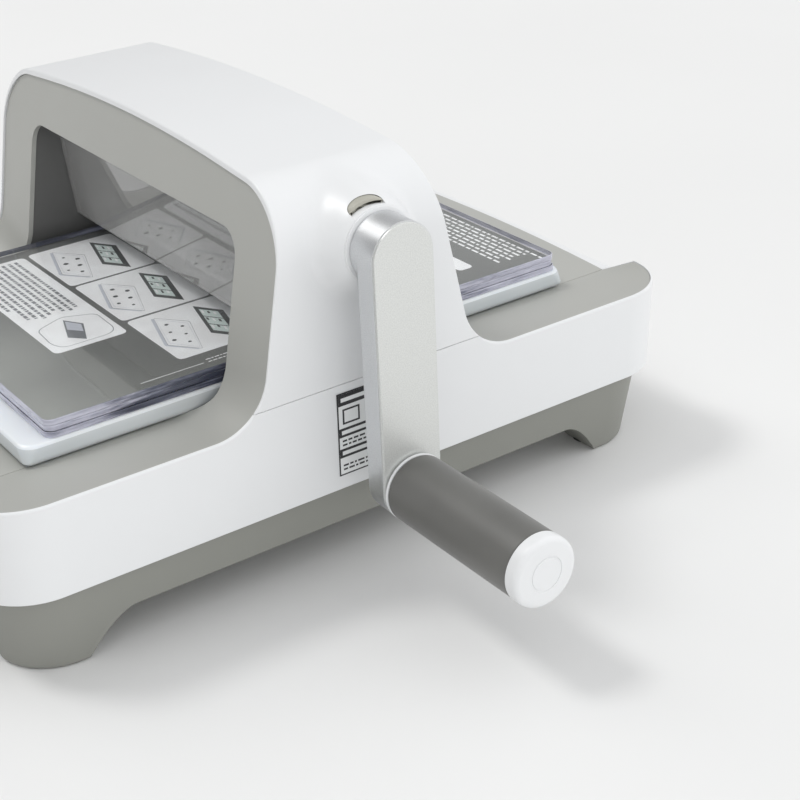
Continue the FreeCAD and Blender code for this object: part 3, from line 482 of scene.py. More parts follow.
# ---- white body ------------------------------------------------------------------------------
def face_reach(z):
    """Half length of the arch at a height, with the fillet down to the rim."""
    centre_z = RIM_Z + FILLET_R
    if z >= centre_z - FILLET_R * math.sin(LEAN):
        return FACE_Y + FACE_SLOPE * (SHOULDER_Z - z)
    return ARCH_FOOT_Y - math.sqrt(max(FILLET_R ** 2 - (centre_z - z) ** 2, 0.0))


def crown_z(x):
    return CROWN_FOOT_Z + (TOP_Z - CROWN_FOOT_Z) * (1 - (x / SHOULDER_X) ** 2)


def front_station(s, inset=0.0):
    """Point (x, z) on the arch's front profile, s millimetres up from the parting line."""
    wall = SHOULDER_Z - PART_HIGH_Z
    if s <= wall:
        return HALF_W - inset, PART_HIGH_Z + s
    a = (s - wall) / SHOULDER_R
    if a <= SHOULDER_END:
        r = SHOULDER_R - inset
        return SHOULDER_X + r * math.cos(a), SHOULDER_Z + r * math.sin(a)
    x0 = SHOULDER_X + SHOULDER_R * math.cos(SHOULDER_END)
    x = max(x0 - (s - wall - SHOULDER_R * SHOULDER_END), 0.0)
    return x, crown_z(x) - inset


def station_of_height(z, inset=0.0):
    if z <= SHOULDER_Z:
        return z - PART_HIGH_Z
    return SHOULDER_Z - PART_HIGH_Z + SHOULDER_R * math.asin((z - SHOULDER_Z) / (SHOULDER_R - inset))


def edge_width(height):
    """Thickness of the white cover: thin beside the mouth, thicker over it."""
    return lerp(SHELL_T, CROWN_T, smooth((height - SHOULDER_Z) / (SHOULDER_R * 0.9)))


def cover_point(s, v, inset=0.0):
    """Point on the cover's skin; inset is 0 outside and 1 inside."""
    x, z = front_station(s)
    if inset:
        x, z = front_station(s, inset * edge_width(z))
    return x, v * face_reach(z), z


def flare_root(theta):
    """Radius where the flare runs out into the cover: a little less above the crank than below."""
    return FLARE_ROOT_R - FLARE_ROOT_RISE * math.cos(theta)


def flare_curve(theta, steps):
    """Points (radius, x) from the cover's skin to the flare's tip, one way round the crank."""
    root = flare_root(theta)
    rise = max(CRANK_Z + root * math.cos(theta) - SHOULDER_Z, 0.0)
    drop = math.sqrt(SHOULDER_R ** 2 - rise ** 2)
    x_end = SHOULDER_X + drop
    slope = -rise / drop * math.cos(theta)
    run = math.hypot(1.0, slope)
    reach = 0.4 * math.hypot(root - FLARE_R, FLARE_X - x_end)
    p0 = Vector((root, x_end))
    p1 = p0 - Vector((1.0, slope)) / run * reach
    p3 = Vector((FLARE_R, FLARE_X))
    p2 = p3 + Vector((4.5, -3.2))
    out = []
    for i in range(steps + 1):
        t = i / steps
        u = 1 - t
        out.append(p0 * u ** 3 + p1 * 3 * t * u ** 2 + p2 * 3 * t * t * u + p3 * t ** 3)
    return out


HOLE_STEPS = 24                      # the cover's grid is left open round the flare
HOLE_BELOW = 41.0
HOLE_TURN = 82
HOLE_V = 0.85
FLARE_STEPS = 16


class Saddle:
    """Points and faces of the arch cover, a grid outside and inside, left open round the crank."""

    def __init__(self):
        wall = SHOULDER_Z - PART_HIGH_Z
        arc_end = wall + SHOULDER_R * SHOULDER_END
        top = arc_end + SHOULDER_X + SHOULDER_R * math.cos(SHOULDER_END)
        centre = station_of_height(CRANK_Z)
        hole = (centre - HOLE_BELOW, wall + SHOULDER_R * math.radians(HOLE_TURN))
        steps = [i / HOLE_STEPS for i in range(HOLE_STEPS + 1)]
        near = [0, 1.5, 3.5, 6, 9.5, 14, 19, 24.5]
        up = near + [lerp(*hole, t) for t in steps] + [lerp(arc_end, top, i / 12) for i in range(13)]
        self.stations = [(s, 1) for s in up] + [(s, -1) for s in reversed(up[:-1])]
        self.across = [-1, -0.945, -0.9] + [lerp(-HOLE_V, HOLE_V, t) for t in steps] + [0.9, 0.945, 1]
        self.points, self.index, self.faces = [], {}, []
        low, left = len(near), 3
        high, right = low + HOLE_STEPS, left + HOLE_STEPS
        self.hole = low, high, left, right
        self.loop = [(low, j) for j in range(left, right)]
        self.loop += [(i, right) for i in range(low, high)]
        self.loop += [(high, j) for j in range(right, left, -1)]
        self.loop += [(i, left) for i in range(high, low, -1)]
        self.thetas = []
        for i, j in self.loop:
            s = self.stations[i][0]
            self.thetas.append(math.atan2(cover_point(s, self.across[j])[1], s - centre))

    def add(self, point):
        self.points.append(point)
        return len(self.points) - 1

    def strip(self, a, b):
        n = len(a)
        self.faces += [(a[k], a[(k + 1) % n], b[(k + 1) % n], b[k]) for k in range(n)]

    def skin(self, layer, inset):
        """One side of the grid."""
        low, high, left, right = self.hole
        for i, (s, side) in enumerate(self.stations):
            for j, v in enumerate(self.across):
                if not (low < i < high and left < j < right):
                    x, y, z = cover_point(s, v, inset)
                    self.index[layer, (i, j)] = self.add((side * x, y, z))
        for i in range(len(self.stations) - 1):
            for j in range(len(self.across) - 1):
                if not (low <= i < high and left <= j < right):
                    corners = ((i, j), (i, j + 1), (i + 1, j + 1), (i + 1, j))
                    self.faces.append(tuple(self.index[layer, corner] for corner in corners))

    def edges(self):
        """Joins the outside to the inside along the parting line and the two mouths."""
        end_i, end_j = len(self.stations) - 1, len(self.across) - 1
        pairs = [((i, j), (i, j + 1)) for j in range(end_j) for i in (0, end_i)]
        pairs += [((i, j), (i + 1, j)) for i in range(end_i) for j in (0, end_j)]
        for a, b in pairs:
            corners = (("outer", a), ("outer", b), ("inner", b), ("inner", a))
            self.faces.append(tuple(self.index[corner] for corner in corners))

    def to_circle(self, layer, inset, radius, count):
        """Rings on the skin from the opening in to a circle about the crank."""
        ring = [self.index[layer, place] for place in self.loop]
        for k in range(1, count + 1):
            t = k / count
            current = []
            for (i, j), theta in zip(self.loop, self.thetas):
                r = radius(theta)
                z = CRANK_Z + r * math.cos(theta)
                s = lerp(self.stations[i][0], station_of_height(z, inset * edge_width(z)), t)
                v = lerp(self.across[j], r * math.sin(theta) / face_reach(z), t)
                current.append(self.add(cover_point(s, v, inset)))
            self.strip(ring, current)
            ring = current
        return ring

    def flare(self, ring):
        """The flare's skin from a ring out to its tip, and its face in to the crank's bore."""
        curves = [flare_curve(t, FLARE_STEPS)[1:] + [(BORE_R, FLARE_X)] for t in self.thetas]
        for row in zip(*curves):
            current = []
            for theta, (r, x) in zip(self.thetas, row):
                current.append(self.add((x, r * math.sin(theta), CRANK_Z + r * math.cos(theta))))
            self.strip(ring, current)
            ring = current
        return ring


def cover_weight(p):
    """Round outer edge, crisp inner edge, and hardly any round at the parting line."""
    if p.z < PART_HIGH_Z + 0.5:
        return 0.1
    if abs(p.x - FLARE_X) < 0.5:
        return 0.22
    outside = abs(p.x) > HALF_W - 0.6
    if p.z > SHOULDER_Z:
        beyond = math.hypot(abs(p.x) - SHOULDER_X, p.z - SHOULDER_Z) > SHOULDER_R - 0.7
        outside = beyond if abs(p.x) > SHOULDER_X + 2 else p.z > crown_z(abs(p.x)) - 0.7
    return 0.6 * edge_width(p.z) / CROWN_T if outside else 0.12


def build_arch_cover():
    """A closed saddle of even thickness, with the flare for the crank grown out of its skin."""
    saddle = Saddle()
    saddle.skin("outer", 0.0)
    saddle.skin("inner", 1.0)
    saddle.edges()
    bore = saddle.flare(saddle.to_circle("outer", 0.0, flare_root, 5))
    saddle.strip(bore, saddle.to_circle("inner", 1.0, lambda theta: BORE_R, 6))
    obj = link("arch_cover_skin", raw_mesh("arch_cover_skin", saddle.points, saddle.faces))
    soften(obj, 2.0, segments=4, weight=cover_weight)
    freeze(obj)
    cut_out(obj, [crescent_cutter()])
    piece(obj, "machine", "white_plastic", WHITE, "arch_cover")


def crescent_outline(grow, steps=32):
    """The button's outline as (y, z): a crescent about the crank's axis, thickest in the middle."""
    thick, thin = BUTTON_THICK

    def at(u, r):
        a = math.radians(BUTTON_MIDDLE + BUTTON_HALF * u + math.degrees(grow / BUTTON_R0) * u)
        return r * math.cos(a), CRANK_Z + r * math.sin(a)

    us = [lerp(-1, 1, i / steps) for i in range(steps + 1)]
    outer = []
    for u in us:
        end = math.sqrt(max(1 - abs(u) ** 10, 0.0))
        outer.append(at(u, BUTTON_R0 + lerp(thin, thick, 1 - u * u) * end + grow))
    return outer + [at(u, BUTTON_R0 - grow) for u in reversed(us)]


def crescent_cutter():
    return lofted("slot_cutter", along_x(crescent_outline(SLOT_GAP), (BUTTON_X0 - 6, FLARE_X + 2)))


def end_line(x):
    """Where the tray's flat end meets the white lip: a slight bow across the machine."""
    return TRAY_END_Y - TRAY_BOW * min(x / DECK_HALF_W, 1.0) ** 2


def horn(x):
    """0 at the deck's edge and 1 where the rim's corner begins."""
    return min(max((abs(x) - DECK_HALF_W) / (HALF_W - CORNER_R - DECK_HALF_W), 0.0), 1.0)


def shell_top(x, y):
    """Height of the white edge above a point of the body's plan."""
    along = abs(y)
    if abs(x) > HALF_W - 0.5 and along < 100:
        if along >= ARCH_FOOT_Y:
            return RIM_Z
        rise = RIM_Z + FILLET_R - math.sqrt(max(FILLET_R ** 2 - (ARCH_FOOT_Y - along) ** 2, 0.0))
        return min(rise, PART_LOW_Z)
    return lerp(DECK_Z, RIM_Z, horn(x))


def shell_width(x, y):
    """Width of the white edge seen from above: thin along the sides, a broad lip across the ends."""
    if abs(y) < HALF_L - 0.5:
        return SHELL_T
    lip = HALF_L - end_line(min(abs(x), DECK_HALF_W))
    return lerp(lip, SHELL_T, horn(x))


def plan_stations():
    """Points and outward normals round the body's plan at full size."""
    top_y = ARCH_FOOT_Y - math.sqrt(FILLET_R ** 2 - (RIM_Z + FILLET_R - PART_LOW_Z) ** 2)
    half = [0, 20, 40, 55, top_y - 3, top_y - 0.05, top_y + 0.05]
    half += [lerp(top_y, ARCH_FOOT_Y, i / 12) for i in range(1, 13)] + [100, 115, 130, 150]
    side = [-y for y in reversed(half[1:])] + half
    out = [(HALF_W, y, 1.0, 0.0) for y in side]
    corner = []
    for x, y in arc(0, 0, 1.0, 0, 90, 28):
        corner.append((HALF_W - CORNER_R + CORNER_R * x, STRAIGHT_Y + CORNER_R * y, x, y))
    end_half = [117, 114, 111, DECK_HALF_W, DECK_HALF_W - 2, 95, 75, 50, 25]
    end = [(x, HALF_L, 0.0, 1.0) for x in end_half + [0] + [-x for x in reversed(end_half)]]
    out += corner + end + [(-x, y, -nx, ny) for x, y, nx, ny in reversed(corner)]
    out += [(-x, -y, -nx, -ny) for x, y, nx, ny in out]
    return out


def shell_profile(top, width):
    """Ring through the wall as (inset, z): drafted outside, rolled top edge, thin inside."""
    at_parting = top > PART_LOW_Z - 0.3
    roll = 0.2 if at_parting else width * 0.85
    drop = 0.2 if at_parting else min(1.5 + (width - SHELL_T) * 0.5, 6.0)
    ring = [(0.5, BAND_Z), (0.15, BAND_Z + 0.2), (0.0, BAND_Z + 0.6)]
    ring += [(0.0, lerp(BAND_Z + 0.6, top - drop, t)) for t in (0.35, 0.7)]
    for i in range(9):
        a = math.radians(90 * i / 8)
        ring.append((roll * (1 - math.cos(a)), top - drop + drop * math.sin(a)))
    ring += [(width - 0.08, top), (width, top - 0.08), (width, top - 2.0)]
    ring += [(SHELL_T, top - 2.4 - (width - SHELL_T) * 0.3), (SHELL_T, BAND_Z)]
    return ring


def build_lower_shell():
    """White band: a drafted wall round the plan, whose top edge follows the tray and the arch."""
    rings = []
    for x, y, nx, ny in plan_stations():
        ring = []
        for inset, z in shell_profile(shell_top(x, y), shell_width(x, y)):
            back = DRAFT * max(RIM_Z - z, 0.0) + inset
            ring.append((x - nx * back, y - ny * back, z))
        rings.append(ring)
    obj = lofted("lower_shell_skin", rings, path_closed=True)
    piece(freeze(obj, 50), "machine", "white_plastic", WHITE, "lower_shell")


# ---- grey fascia: bezel, lip and tray flanges in one moulding ---------------------------------
FASCIA_ROWS = (0.0, 0.05, 0.2, 0.4, 0.6, 0.8, 0.95, 1.0)
FILLET_TURN = math.radians(270) - (math.pi + LEAN)
BED_GAP = 0.3                        # seam beside the tray's flat, and at its end
BED_END_GAP = 0.25
BED_T = 3.0


def fillet_centre(base_z):
    fillet_y = FACE_Y - FASCIA_INSET + FACE_SLOPE * (SHOULDER_Z - base_z)
    return fillet_y + FILLET_REACH, base_z + FILLET_R


def row_z(r):
    """Height of a flange row: the crease is at the deck, and the edge at the rim."""
    return lerp(DECK_Z, FLANGE_Z, r)


def flange_stations():
    """Inner and outer end, as (x, y), of each station from the tray's end to the arch."""
    inset = SHELL_T + FLANGE_GAP
    bend = STRAIGHT_Y - 8            # the crease keeps this far inside the rim's corner
    crease_end = end_line(DECK_HALF_W)
    out = []
    for x, y in arc(0, 0, CORNER_R - inset, 90, 0, 12):
        inner = (DECK_HALF_W, lerp(crease_end, bend, len(out) / 12))
        out.append((inner, (HALF_W - CORNER_R + x, STRAIGHT_Y + y)))
    arch = fillet_centre(DECK_Z)[0]
    for t in (0.1, 0.25, 0.4, 0.55, 0.7, 0.85):
        out.append(((DECK_HALF_W, lerp(bend, arch, t)), (HALF_W - inset, lerp(STRAIGHT_Y, arch, t))))
    return out


def on_face(x, z):
    """Point of the bezel's leaning front."""
    return x, -(FACE_Y - FASCIA_INSET + FACE_SLOPE * (SHOULDER_Z - z)), z


def fillet_point(t, r):
    """Point of the fillet from the tray to the bezel; t runs along the mouth's edge, r outwards."""
    cy, cz = fillet_centre(row_z(r))
    x_in = lerp(DECK_HALF_W, MOUTH_HALF_W, smooth((t - 0.05) / 0.6))
    a = math.radians(270) - FILLET_TURN * t
    x = lerp(x_in, HALF_W - SHELL_T - FLANGE_GAP, r)
    return x, -(cy + FILLET_R * math.cos(a)), cz + FILLET_R * math.sin(a)


def post_point(t, r):
    """Point of the upright beside the mouth."""
    outer_x = SHOULDER_X + (SHOULDER_R - SHELL_T - FLANGE_GAP)
    foot, head = fillet_point(1.0, r)[2], lerp(MOUTH_TOP_Z - MOUTH_R, SHOULDER_Z, r)
    return on_face(lerp(MOUTH_HALF_W, outer_x, r), lerp(foot, head, t))


def corner_point(t, r):
    """Point of the rounded corner."""
    a, b = math.radians(90 * t), SHOULDER_END * t
    shrunk = SHOULDER_R - FLANGE_GAP - edge_width(SHOULDER_Z + SHOULDER_R * math.sin(b))
    x = lerp(MOUTH_HALF_W - MOUTH_R + MOUTH_R * math.cos(a), SHOULDER_X + shrunk * math.cos(b), r)
    z = lerp(MOUTH_TOP_Z - MOUTH_R + MOUTH_R * math.sin(a), SHOULDER_Z + shrunk * math.sin(b), r)
    return on_face(x, z)


def crown_point(t, r):
    """Point over the mouth, from the corner to the middle."""
    inset = CROWN_T + FLANGE_GAP
    outer_x = SHOULDER_X + (SHOULDER_R - inset) * math.cos(SHOULDER_END)
    x = lerp(MOUTH_HALF_W - MOUTH_R, outer_x, r) * (1 - t)
    return on_face(x, lerp(MOUTH_TOP_Z, crown_z(outer_x * (1 - t)) - inset, r))


FASCIA_PARTS = ((fillet_point, 0, 14), (post_point, 1, 7), (corner_point, 1, 12), (crown_point, 1, 8))


def half_fascia():
    """Grid of points, (station, row), for the crank side, and how many lie along the tray."""
    grid = []
    for (x0, y0), (x1, y1) in flange_stations():
        grid.append([(lerp(x0, x1, r), -lerp(y0, y1, r), row_z(r)) for r in FASCIA_ROWS])
    tray_count = len(grid)
    for point, first, count in FASCIA_PARTS:
        for i in range(first, count + 1):
            grid.append([point(i / count, r) for r in FASCIA_ROWS])
    return grid, tray_count


def build_fascia(name, node, side):
    """The moulding round one mouth; side is 1 for the front and -1 for the rear."""
    grid, tray_count = half_fascia()
    lined = []
    for i, line in enumerate(grid):
        x, y, z = line[0]
        inward = smooth((i - tray_count) / 6)
        lip = (x, y + LIP_DEPTH * inward, z - LIP_DEPTH * (1 - inward))
        lined.append([lip] + line)
    whole = lined + [[(-x, y, z) for x, y, z in line] for line in reversed(lined[:-1])]
    points, faces = [], []
    n = len(whole[0])
    for line in whole:
        points += [(x, y * side, z) for x, y, z in line]
    for i in range(len(whole) - 1):
        for j in range(n - 1):
            a = i * n + j
            quad = (a, a + 1, a + n + 1, a + n)
            faces.append(quad if side == 1 else tuple(reversed(quad)))
    mesh = bpy.data.meshes.new(name)
    mesh.from_pydata([tuple(c * MM for c in p) for p in points], [], faces)
    obj = link(name, mesh)
    thick = obj.modifiers.new("wall", "SOLIDIFY")
    thick.thickness = FASCIA_T * MM
    thick.offset = -1.0
    thick.use_even_offset = False
    soften(obj, 0.7, angle=42)
    piece(freeze(obj), "machine", "fascia_grey", FASCIA, node)


def build_bed(name, node, side):
    """Flat floor of the tray, bowed at its end, with a fine seam to the flanges."""
    low, high = mm_box(node)
    y_in = abs(high[1] if side == 1 else low[1])
    xs = [lerp(-DECK_HALF_W + BED_GAP, DECK_HALF_W - BED_GAP, i / 24) for i in range(25)]
    outline = [(x, -(end_line(abs(x)) - BED_END_GAP)) for x in xs]
    outline += [(x, -y_in) for x in reversed(xs)]
    rings = [[(x, side * y, z) for x, y in outline] for z in (DECK_Z - BED_T, DECK_Z)]
    obj = lofted(name, rings)
    soften(obj, 0.3, segments=2, angle=50)
    piece(freeze(obj), "machine", "fascia_grey", FASCIA, node)


def liner_reach(z):
    """Half length of the passage's side wall at a height: just behind the bezel and its fillet, so that
    its near-black colour lies there as painted shade inside the mouth.
    """
    cy, cz = fillet_centre(DECK_Z)
    gap = FASCIA_T + 0.4
    if z >= cz - (FILLET_R + gap) * math.sin(LEAN):
        return FACE_Y - FASCIA_INSET - gap + FACE_SLOPE * (SHOULDER_Z - z)
    return cy - math.sqrt(max((FILLET_R + gap) ** 2 - (cz - z) ** 2, 0.0))


def build_liner(name, node, side):
    """Near-black side wall of the passage, holed for the rollers' journals; its colour is painted shade
    for the inside of the mouth.
    """
    zs = [lerp(DECK_Z - 2.5, PASSAGE_TOP_Z, i / 30) for i in range(31)]
    outline = [(liner_reach(z), z) for z in zs] + [(-liner_reach(z), z) for z in reversed(zs)]
    x0, x1 = MOUTH_HALF_W + LINER_GAP, MOUTH_HALF_W + LINER_GAP + LINER_T
    obj = lofted(name, along_x(outline, (side * x0, side * x1)))
    tools = []
    for roller in ("upper_roller", "lower_roller"):
        z0, z1 = plan_box(roller)[3:]
        hole = [(side * (x0 - 2), JOURNAL_HOLE_R), (side * (x1 + 2), JOURNAL_HOLE_R)]
        tools.append(lofted(roller + "_hole", turned(hole, (z0 + z1) / 2, 48)))
    cut_out(obj, tools)
    piece(obj, "machine", "liner_dark", PAINTED_SHADE_LINER, node)


# ---- base --------------------------------------------------------------------------------------
def foot_curve(start, end, steps=18):
    """Curve from the skirt down the inner side of a foot, and on past the floor."""
    pts = []
    for i in range(steps + 1):
        t = i / steps
        pts.append((lerp(start, end, t), SKIRT_Z - (SKIRT_Z - FOOT_Z) * t ** FOOT_CURVE))
    slope_y, slope_z = pts[-1][0] - pts[-2][0], pts[-1][1] - pts[-2][1]
    pts.append((end + slope_y * 3, FOOT_Z + slope_z * 3))
    return pts


def build_base():
    """Drafted tub on four feet, cut out between them lengthwise and crosswise."""
    rings = []
    rounded = ((FOOT_Z, 1.6), (FOOT_Z + 0.4, 0.7), (FOOT_Z + 1.2, 0.2), (FOOT_Z + 2.4, 0.0))
    for z, extra in rounded + ((BAND_Z + 0.6, 0.0),):
        shrink = BASE_INSET + BASE_DRAFT * max(BAND_Z - z, 0.0) + extra
        plan = rounded_plan(HALF_W - shrink, HALF_L - shrink, BASE_CORNER_R - shrink, steps=24)
        rings.append([(x, y, z) for x, y in plan])
    obj = lofted("base_shell", rings)
    front, rear = foot_curve(*FOOT_FRONT_Y), foot_curve(*FOOT_REAR_Y)
    ends = foot_curve(*FOOT_X)
    side = [(-y, z) for y, z in reversed(front)] + rear
    across = [(-x, z) for x, z in reversed(ends)] + ends
    far_x, far_y = HALF_W + 30, HALF_L + 30
    end_rings = [[(x, y, z) for x, z in across] for y in (-far_y, far_y)]
    cut_out(obj, [lofted("cut_side", along_x(side, (-far_x, far_x))), lofted("cut_end", end_rings)])
    obj.modifiers.clear()
    soften(obj, 2.2, segments=5, angle=38)
    piece(freeze(obj), "machine", "base_grey", BASE, "base_tray")


# ---- crank -------------------------------------------------------------------------------------
def stadium_ring(x, r, length, steps=40):
    """Round-ended outline hanging down from the crank's axis; length 0 gives a circle."""
    top = arc(0, CRANK_Z, r, 0, 180, steps)
    low = arc(0, CRANK_Z - length, r, 180, 360, steps)
    return [(x, y, z) for y, z in top + low]


def arm_weight(p):
    """Crisp at the hub's back, round on the arm's back and softer on its face."""
    if p.x < HUB_X0 + 1:
        return 0.0
    return 1.0 if p.x < ARM_X0 + 1 else 0.6


def build_arm():
    """The arm with its hub, and the flat inlay on its face."""
    rings = [stadium_ring(HUB_X0, ARM_R - 0.4, 0), stadium_ring(HUB_X0 + 0.4, ARM_R, 0),
             stadium_ring(ARM_X0, ARM_R, 0), stadium_ring(ARM_X0, ARM_R, CRANK_LENGTH),
             stadium_ring(ARM_X1, ARM_R, CRANK_LENGTH)]
    leaned_piece("crank_arm_casting", rings, "arm_silver", ARM, "crank_arm", soft=arm_weight)
    r, x1 = ARM_R - 0.55, mm_box("arm_face")[1][0]
    profile = ((ARM_X1 - 0.2, r), (x1 - 0.45, r), (x1 - 0.13, r - 0.14), (x1, r - 0.5))
    rings = [stadium_ring(x, radius, CRANK_LENGTH) for x, radius in profile]
    leaned_piece("arm_face_inlay", rings, "arm_face", ARM_FACE, "arm_face")


def grip_piece(name, profile, slot, material, node, body="grip", sharp=30):
    """A turned piece about the grip's spindle."""
    leaned_piece(name, turned(profile, HANDLE_Z, 128), slot, material, node, body, sharp)


def build_grip():
    """Ring, soft sleeve and end cap."""
    x1 = mm_box("grip_ring")[1][0]
    x0 = x1 - 1.6
    ring = [(ARM_X1 + 1.0, 13.2), (x0, 13.2), (x0, GRIP_R - 0.4), (x0 + 0.4, GRIP_R),
            (x1 - 0.4, GRIP_R), (x1, GRIP_R - 0.4), (x1, 5.2)]
    grip_piece("grip_root_ring", ring, "white_plastic", WHITE, "grip_ring", body="crank")

    (x0, *_), (x1, *_) = mm_box("grip_sleeve")
    r = GRIP_R - 0.05
    sleeve = [(x0, 13.6), (x0, GRIP_R - 0.9), (x0 + 0.3, GRIP_R - 0.35), (x0 + 0.9, r)]
    for i in range(1, 12):
        t = i / 12
        sleeve.append((lerp(x0 + 0.9, x1 - 0.9, t), r + 0.05 * math.sin(math.pi * t)))
    sleeve += [(x1 - 0.9, r), (x1 - 0.3, GRIP_R - 0.35), (x1, GRIP_R - 0.9), (x1, 13.6)]
    grip_piece("grip_soft_sleeve", sleeve, "grip_rubber", GRIP, "grip_sleeve")

    (x0, *_), (x1, *_) = mm_box("grip_end_cap")
    r = GRIP_R + 0.1
    cap = [(x0, 13.0), (x0, r - 0.3), (x0 + 0.3, r)]
    for degrees in range(0, 91, 9):
        a = math.radians(degrees)
        cap.append((x1 - 3 + 2.7 * math.sin(a), r - 3 + 3 * math.cos(a)))
    cap += [(x1 - 0.18, 11.5), (x1 - 0.12, 8.9), (x1 - 0.45, 8.75), (x1 - 0.45, 7.95),
            (x1 - 0.08, 7.8), (x1 - 0.03, 4.0), (x1, 0.0)]
    grip_piece("grip_cap", cap, "white_plastic", WHITE, "grip_end_cap", sharp=50)


def build_collar():
    """White ring in the flare, behind the hub."""
    (x0, *_), (x1, *_) = mm_box("crank_collar")
    r = COLLAR_R
    profile = [(x0 - 0.2, BORE_R), (x0 - 0.2, r - 0.2), (x0 + 0.4, r), (x1 - 0.35, r - 0.15),
               (x1, r - 0.6), (x1, BORE_R)]
    obj = lofted("hub_collar", turned(profile, CRANK_Z, 128))
    piece(freeze(obj, 50), "machine", "white_plastic", WHITE, "crank_collar")


def build_button():
    """Crescent key: one outline at several depths, with a soft outer rim and a tilted face."""
    x1 = BUTTON_X1
    rings = along_x(crescent_outline(0.0), (BUTTON_X0,))
    for x, grow in ((x1 - 0.9, 0.0), (x1 - 0.45, -0.12), (x1 - 0.12, -0.45), (x1, -0.95)):
        rings.append([(x + BUTTON_TILT * (y - 6), y, z) for y, z in crescent_outline(grow)])
    obj = lofted("release_key", rings)
    piece(freeze(obj, 50), "button", "button_grey", BUTTON, "release_button")


def build_spring():
    """The button's return spring: a coiled wire, drawn at rest; nothing here shortens it as the button
    goes in.
    """
    low, high = mm_box("button_spring")
    cy, cz = (low[1] + high[1]) / 2, (low[2] + high[2]) / 2
    coil_r = (high[1] - low[1]) / 2 - SPRING_WIRE_R
    steps = SPRING_TURNS * STEPS_PER_TURN
    section = arc(0.0, coil_r, SPRING_WIRE_R, 0, 324, 9)
    rings = []
    for i in range(steps + 1):
        a = 2 * math.pi * SPRING_TURNS * i / steps
        x = lerp(low[0] + SPRING_WIRE_R, high[0] - SPRING_WIRE_R, i / steps)
        rings.append([(x + dx, cy + r * math.cos(a), cz + r * math.sin(a)) for dx, r in section])
    obj = lofted("release_spring", rings)
    piece(freeze(obj, 60), "machine", "screw_zinc", SPRING, "button_spring")
    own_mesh(obj)


# ---- plates ------------------------------------------------------------------------------------
def milky(name, deep, pale):
    """Translucent white plastic: soft inside, a little cool where light has gone deep."""
    n = Nodes(name)
    return n.principled({
        "Base Color": n.mottle(12.0, 2.0, deep, pale),
        "Roughness": n.spread(n.noise(60.0, 3.0), 0.2, 0.28),
        "Subsurface Weight": 0.35, "Subsurface Radius": (0.9, 1.0, 1.15), "Subsurface Scale": 0.006,
        "Normal": n.bump(n.noise(900.0, 2.0), 0.01)})


def plate_edge():
    """Polished edge of a clear plate, finely streaked: pale near the ends, with painted shade in deep
    indigo between, where the plates lie under the arch.
    """
    n = Nodes("clear_plate_edge_painted_shade")
    streaks = n.noise(30.0, 5.0, n.scaled((1.0, 1.0, 12.0)), 0.65)
    # painted shade: the edges darken towards the middle of the machine, under the arch, and stay pale
    # towards the ends
    away = n.calc("ABSOLUTE", n.calc("ADD", n.along_y(), 24.0 * MM))
    ragged = n.calc("MULTIPLY_ADD", streaks, 0.05, away)
    lit_ends_mask = n.add("ShaderNodeMapRange", {"Value": ragged, "From Min": 0.100, "From Max": 0.118})
    dark = n.ramp(streaks, [
        (0.35, (0.045, 0.05, 0.08)), (0.52, (0.085, 0.092, 0.13)), (0.66, (0.22, 0.23, 0.30))])
    pale = n.ramp(streaks, [
        (0.34, (0.20, 0.205, 0.27)), (0.46, (0.44, 0.44, 0.53)), (0.6, (0.60, 0.60, 0.70))])
    colour = n.add("ShaderNodeMixRGB", {0: lit_ends_mask.outputs[0], 1: dark, 2: pale}).outputs[0]
    return n.principled({
        "Base Color": colour, "Roughness": n.spread(streaks, 0.12, 0.25), "Coat Weight": 0.5,
        "Coat Roughness": 0.05})


def build_platform():
    """Thick platform with a rounded lower edge and a softly rolled top; its upright sides are painted
    darker as shade.
    """
    hw, hl, cy, z0, z1 = plan_box("platform")
    profile = [(z0, 3.6), (z0 + 0.35, 2.5), (z0 + 1.1, 1.3), (z0 + 2.6, 0.0), (z0 + 4.0, 0.0),
               (z1 - 3.0, 0.1), (z1 - 1.5, 0.35), (z1 - 0.7, 0.7), (z1 - 0.2, 1.2), (z1, 1.8)]
    rings = []
    for z, inset in profile:
        plan = rounded_plan(hw - inset, hl - inset, lerp(*PLATFORM_R, (z - z0) / (z1 - z0)), cy, 14)
        rings.append([(x, y, z) for x, y in plan])
    # the upright faces take the darker copy as painted shade, so the rolled top edge stands out lighter
    # as a painted highlight
    marks = []
    for k in range(len(profile) - 1):
        marks += [1 if 2 <= k <= 5 else 0] * len(rings[0])
    obj = lofted("platform_block", rings, marks + [0, 0])
    freeze(obj, 50)
    top = milky("milky_platform", (0.78, 0.82, 0.86), (0.86, 0.885, 0.91))
    # painted shade: a darker copy of the same milky white, for the sides
    side = milky("milky_platform_painted_shade_side", (0.58, 0.615, 0.63), (0.70, 0.73, 0.745))
    piece(obj, "plates", "platform_white", [top, side], "platform")


def build_plates():
    """The clear plates, with polished edges."""
    edge = plate_edge()
    clear = clear_sheet("clear_plate", (0.99, 0.995, 1.0), 0.012, 0.05, 1.42)
    for node in ("pad_lower", "pad_middle", "pad_top"):
        hw, hl, cy, z0, z1 = plan_box(node)
        z0, z1 = z0 + SHEET_GAP, z1 - SHEET_GAP
        rings = []
        for z, i in ((z0, 0.45), (z0 + 0.12, 0.12), (z0 + 0.45, 0.0),
                     (z1 - 0.45, 0.0), (z1 - 0.12, 0.12), (z1, 0.45)):
            plan = rounded_plan(hw - i, hl - i, STACK_R - i, cy, 12)
            rings.append([(x, y, z) for x, y in plan])
        sides = (len(rings) - 1) * len(rings[0])
        obj = lofted(node + "_sheet", rings, [0] * sides + [1, 1])
        freeze(obj, 50)
        piece(obj, "plates", "clear_plate", [edge, clear], node)


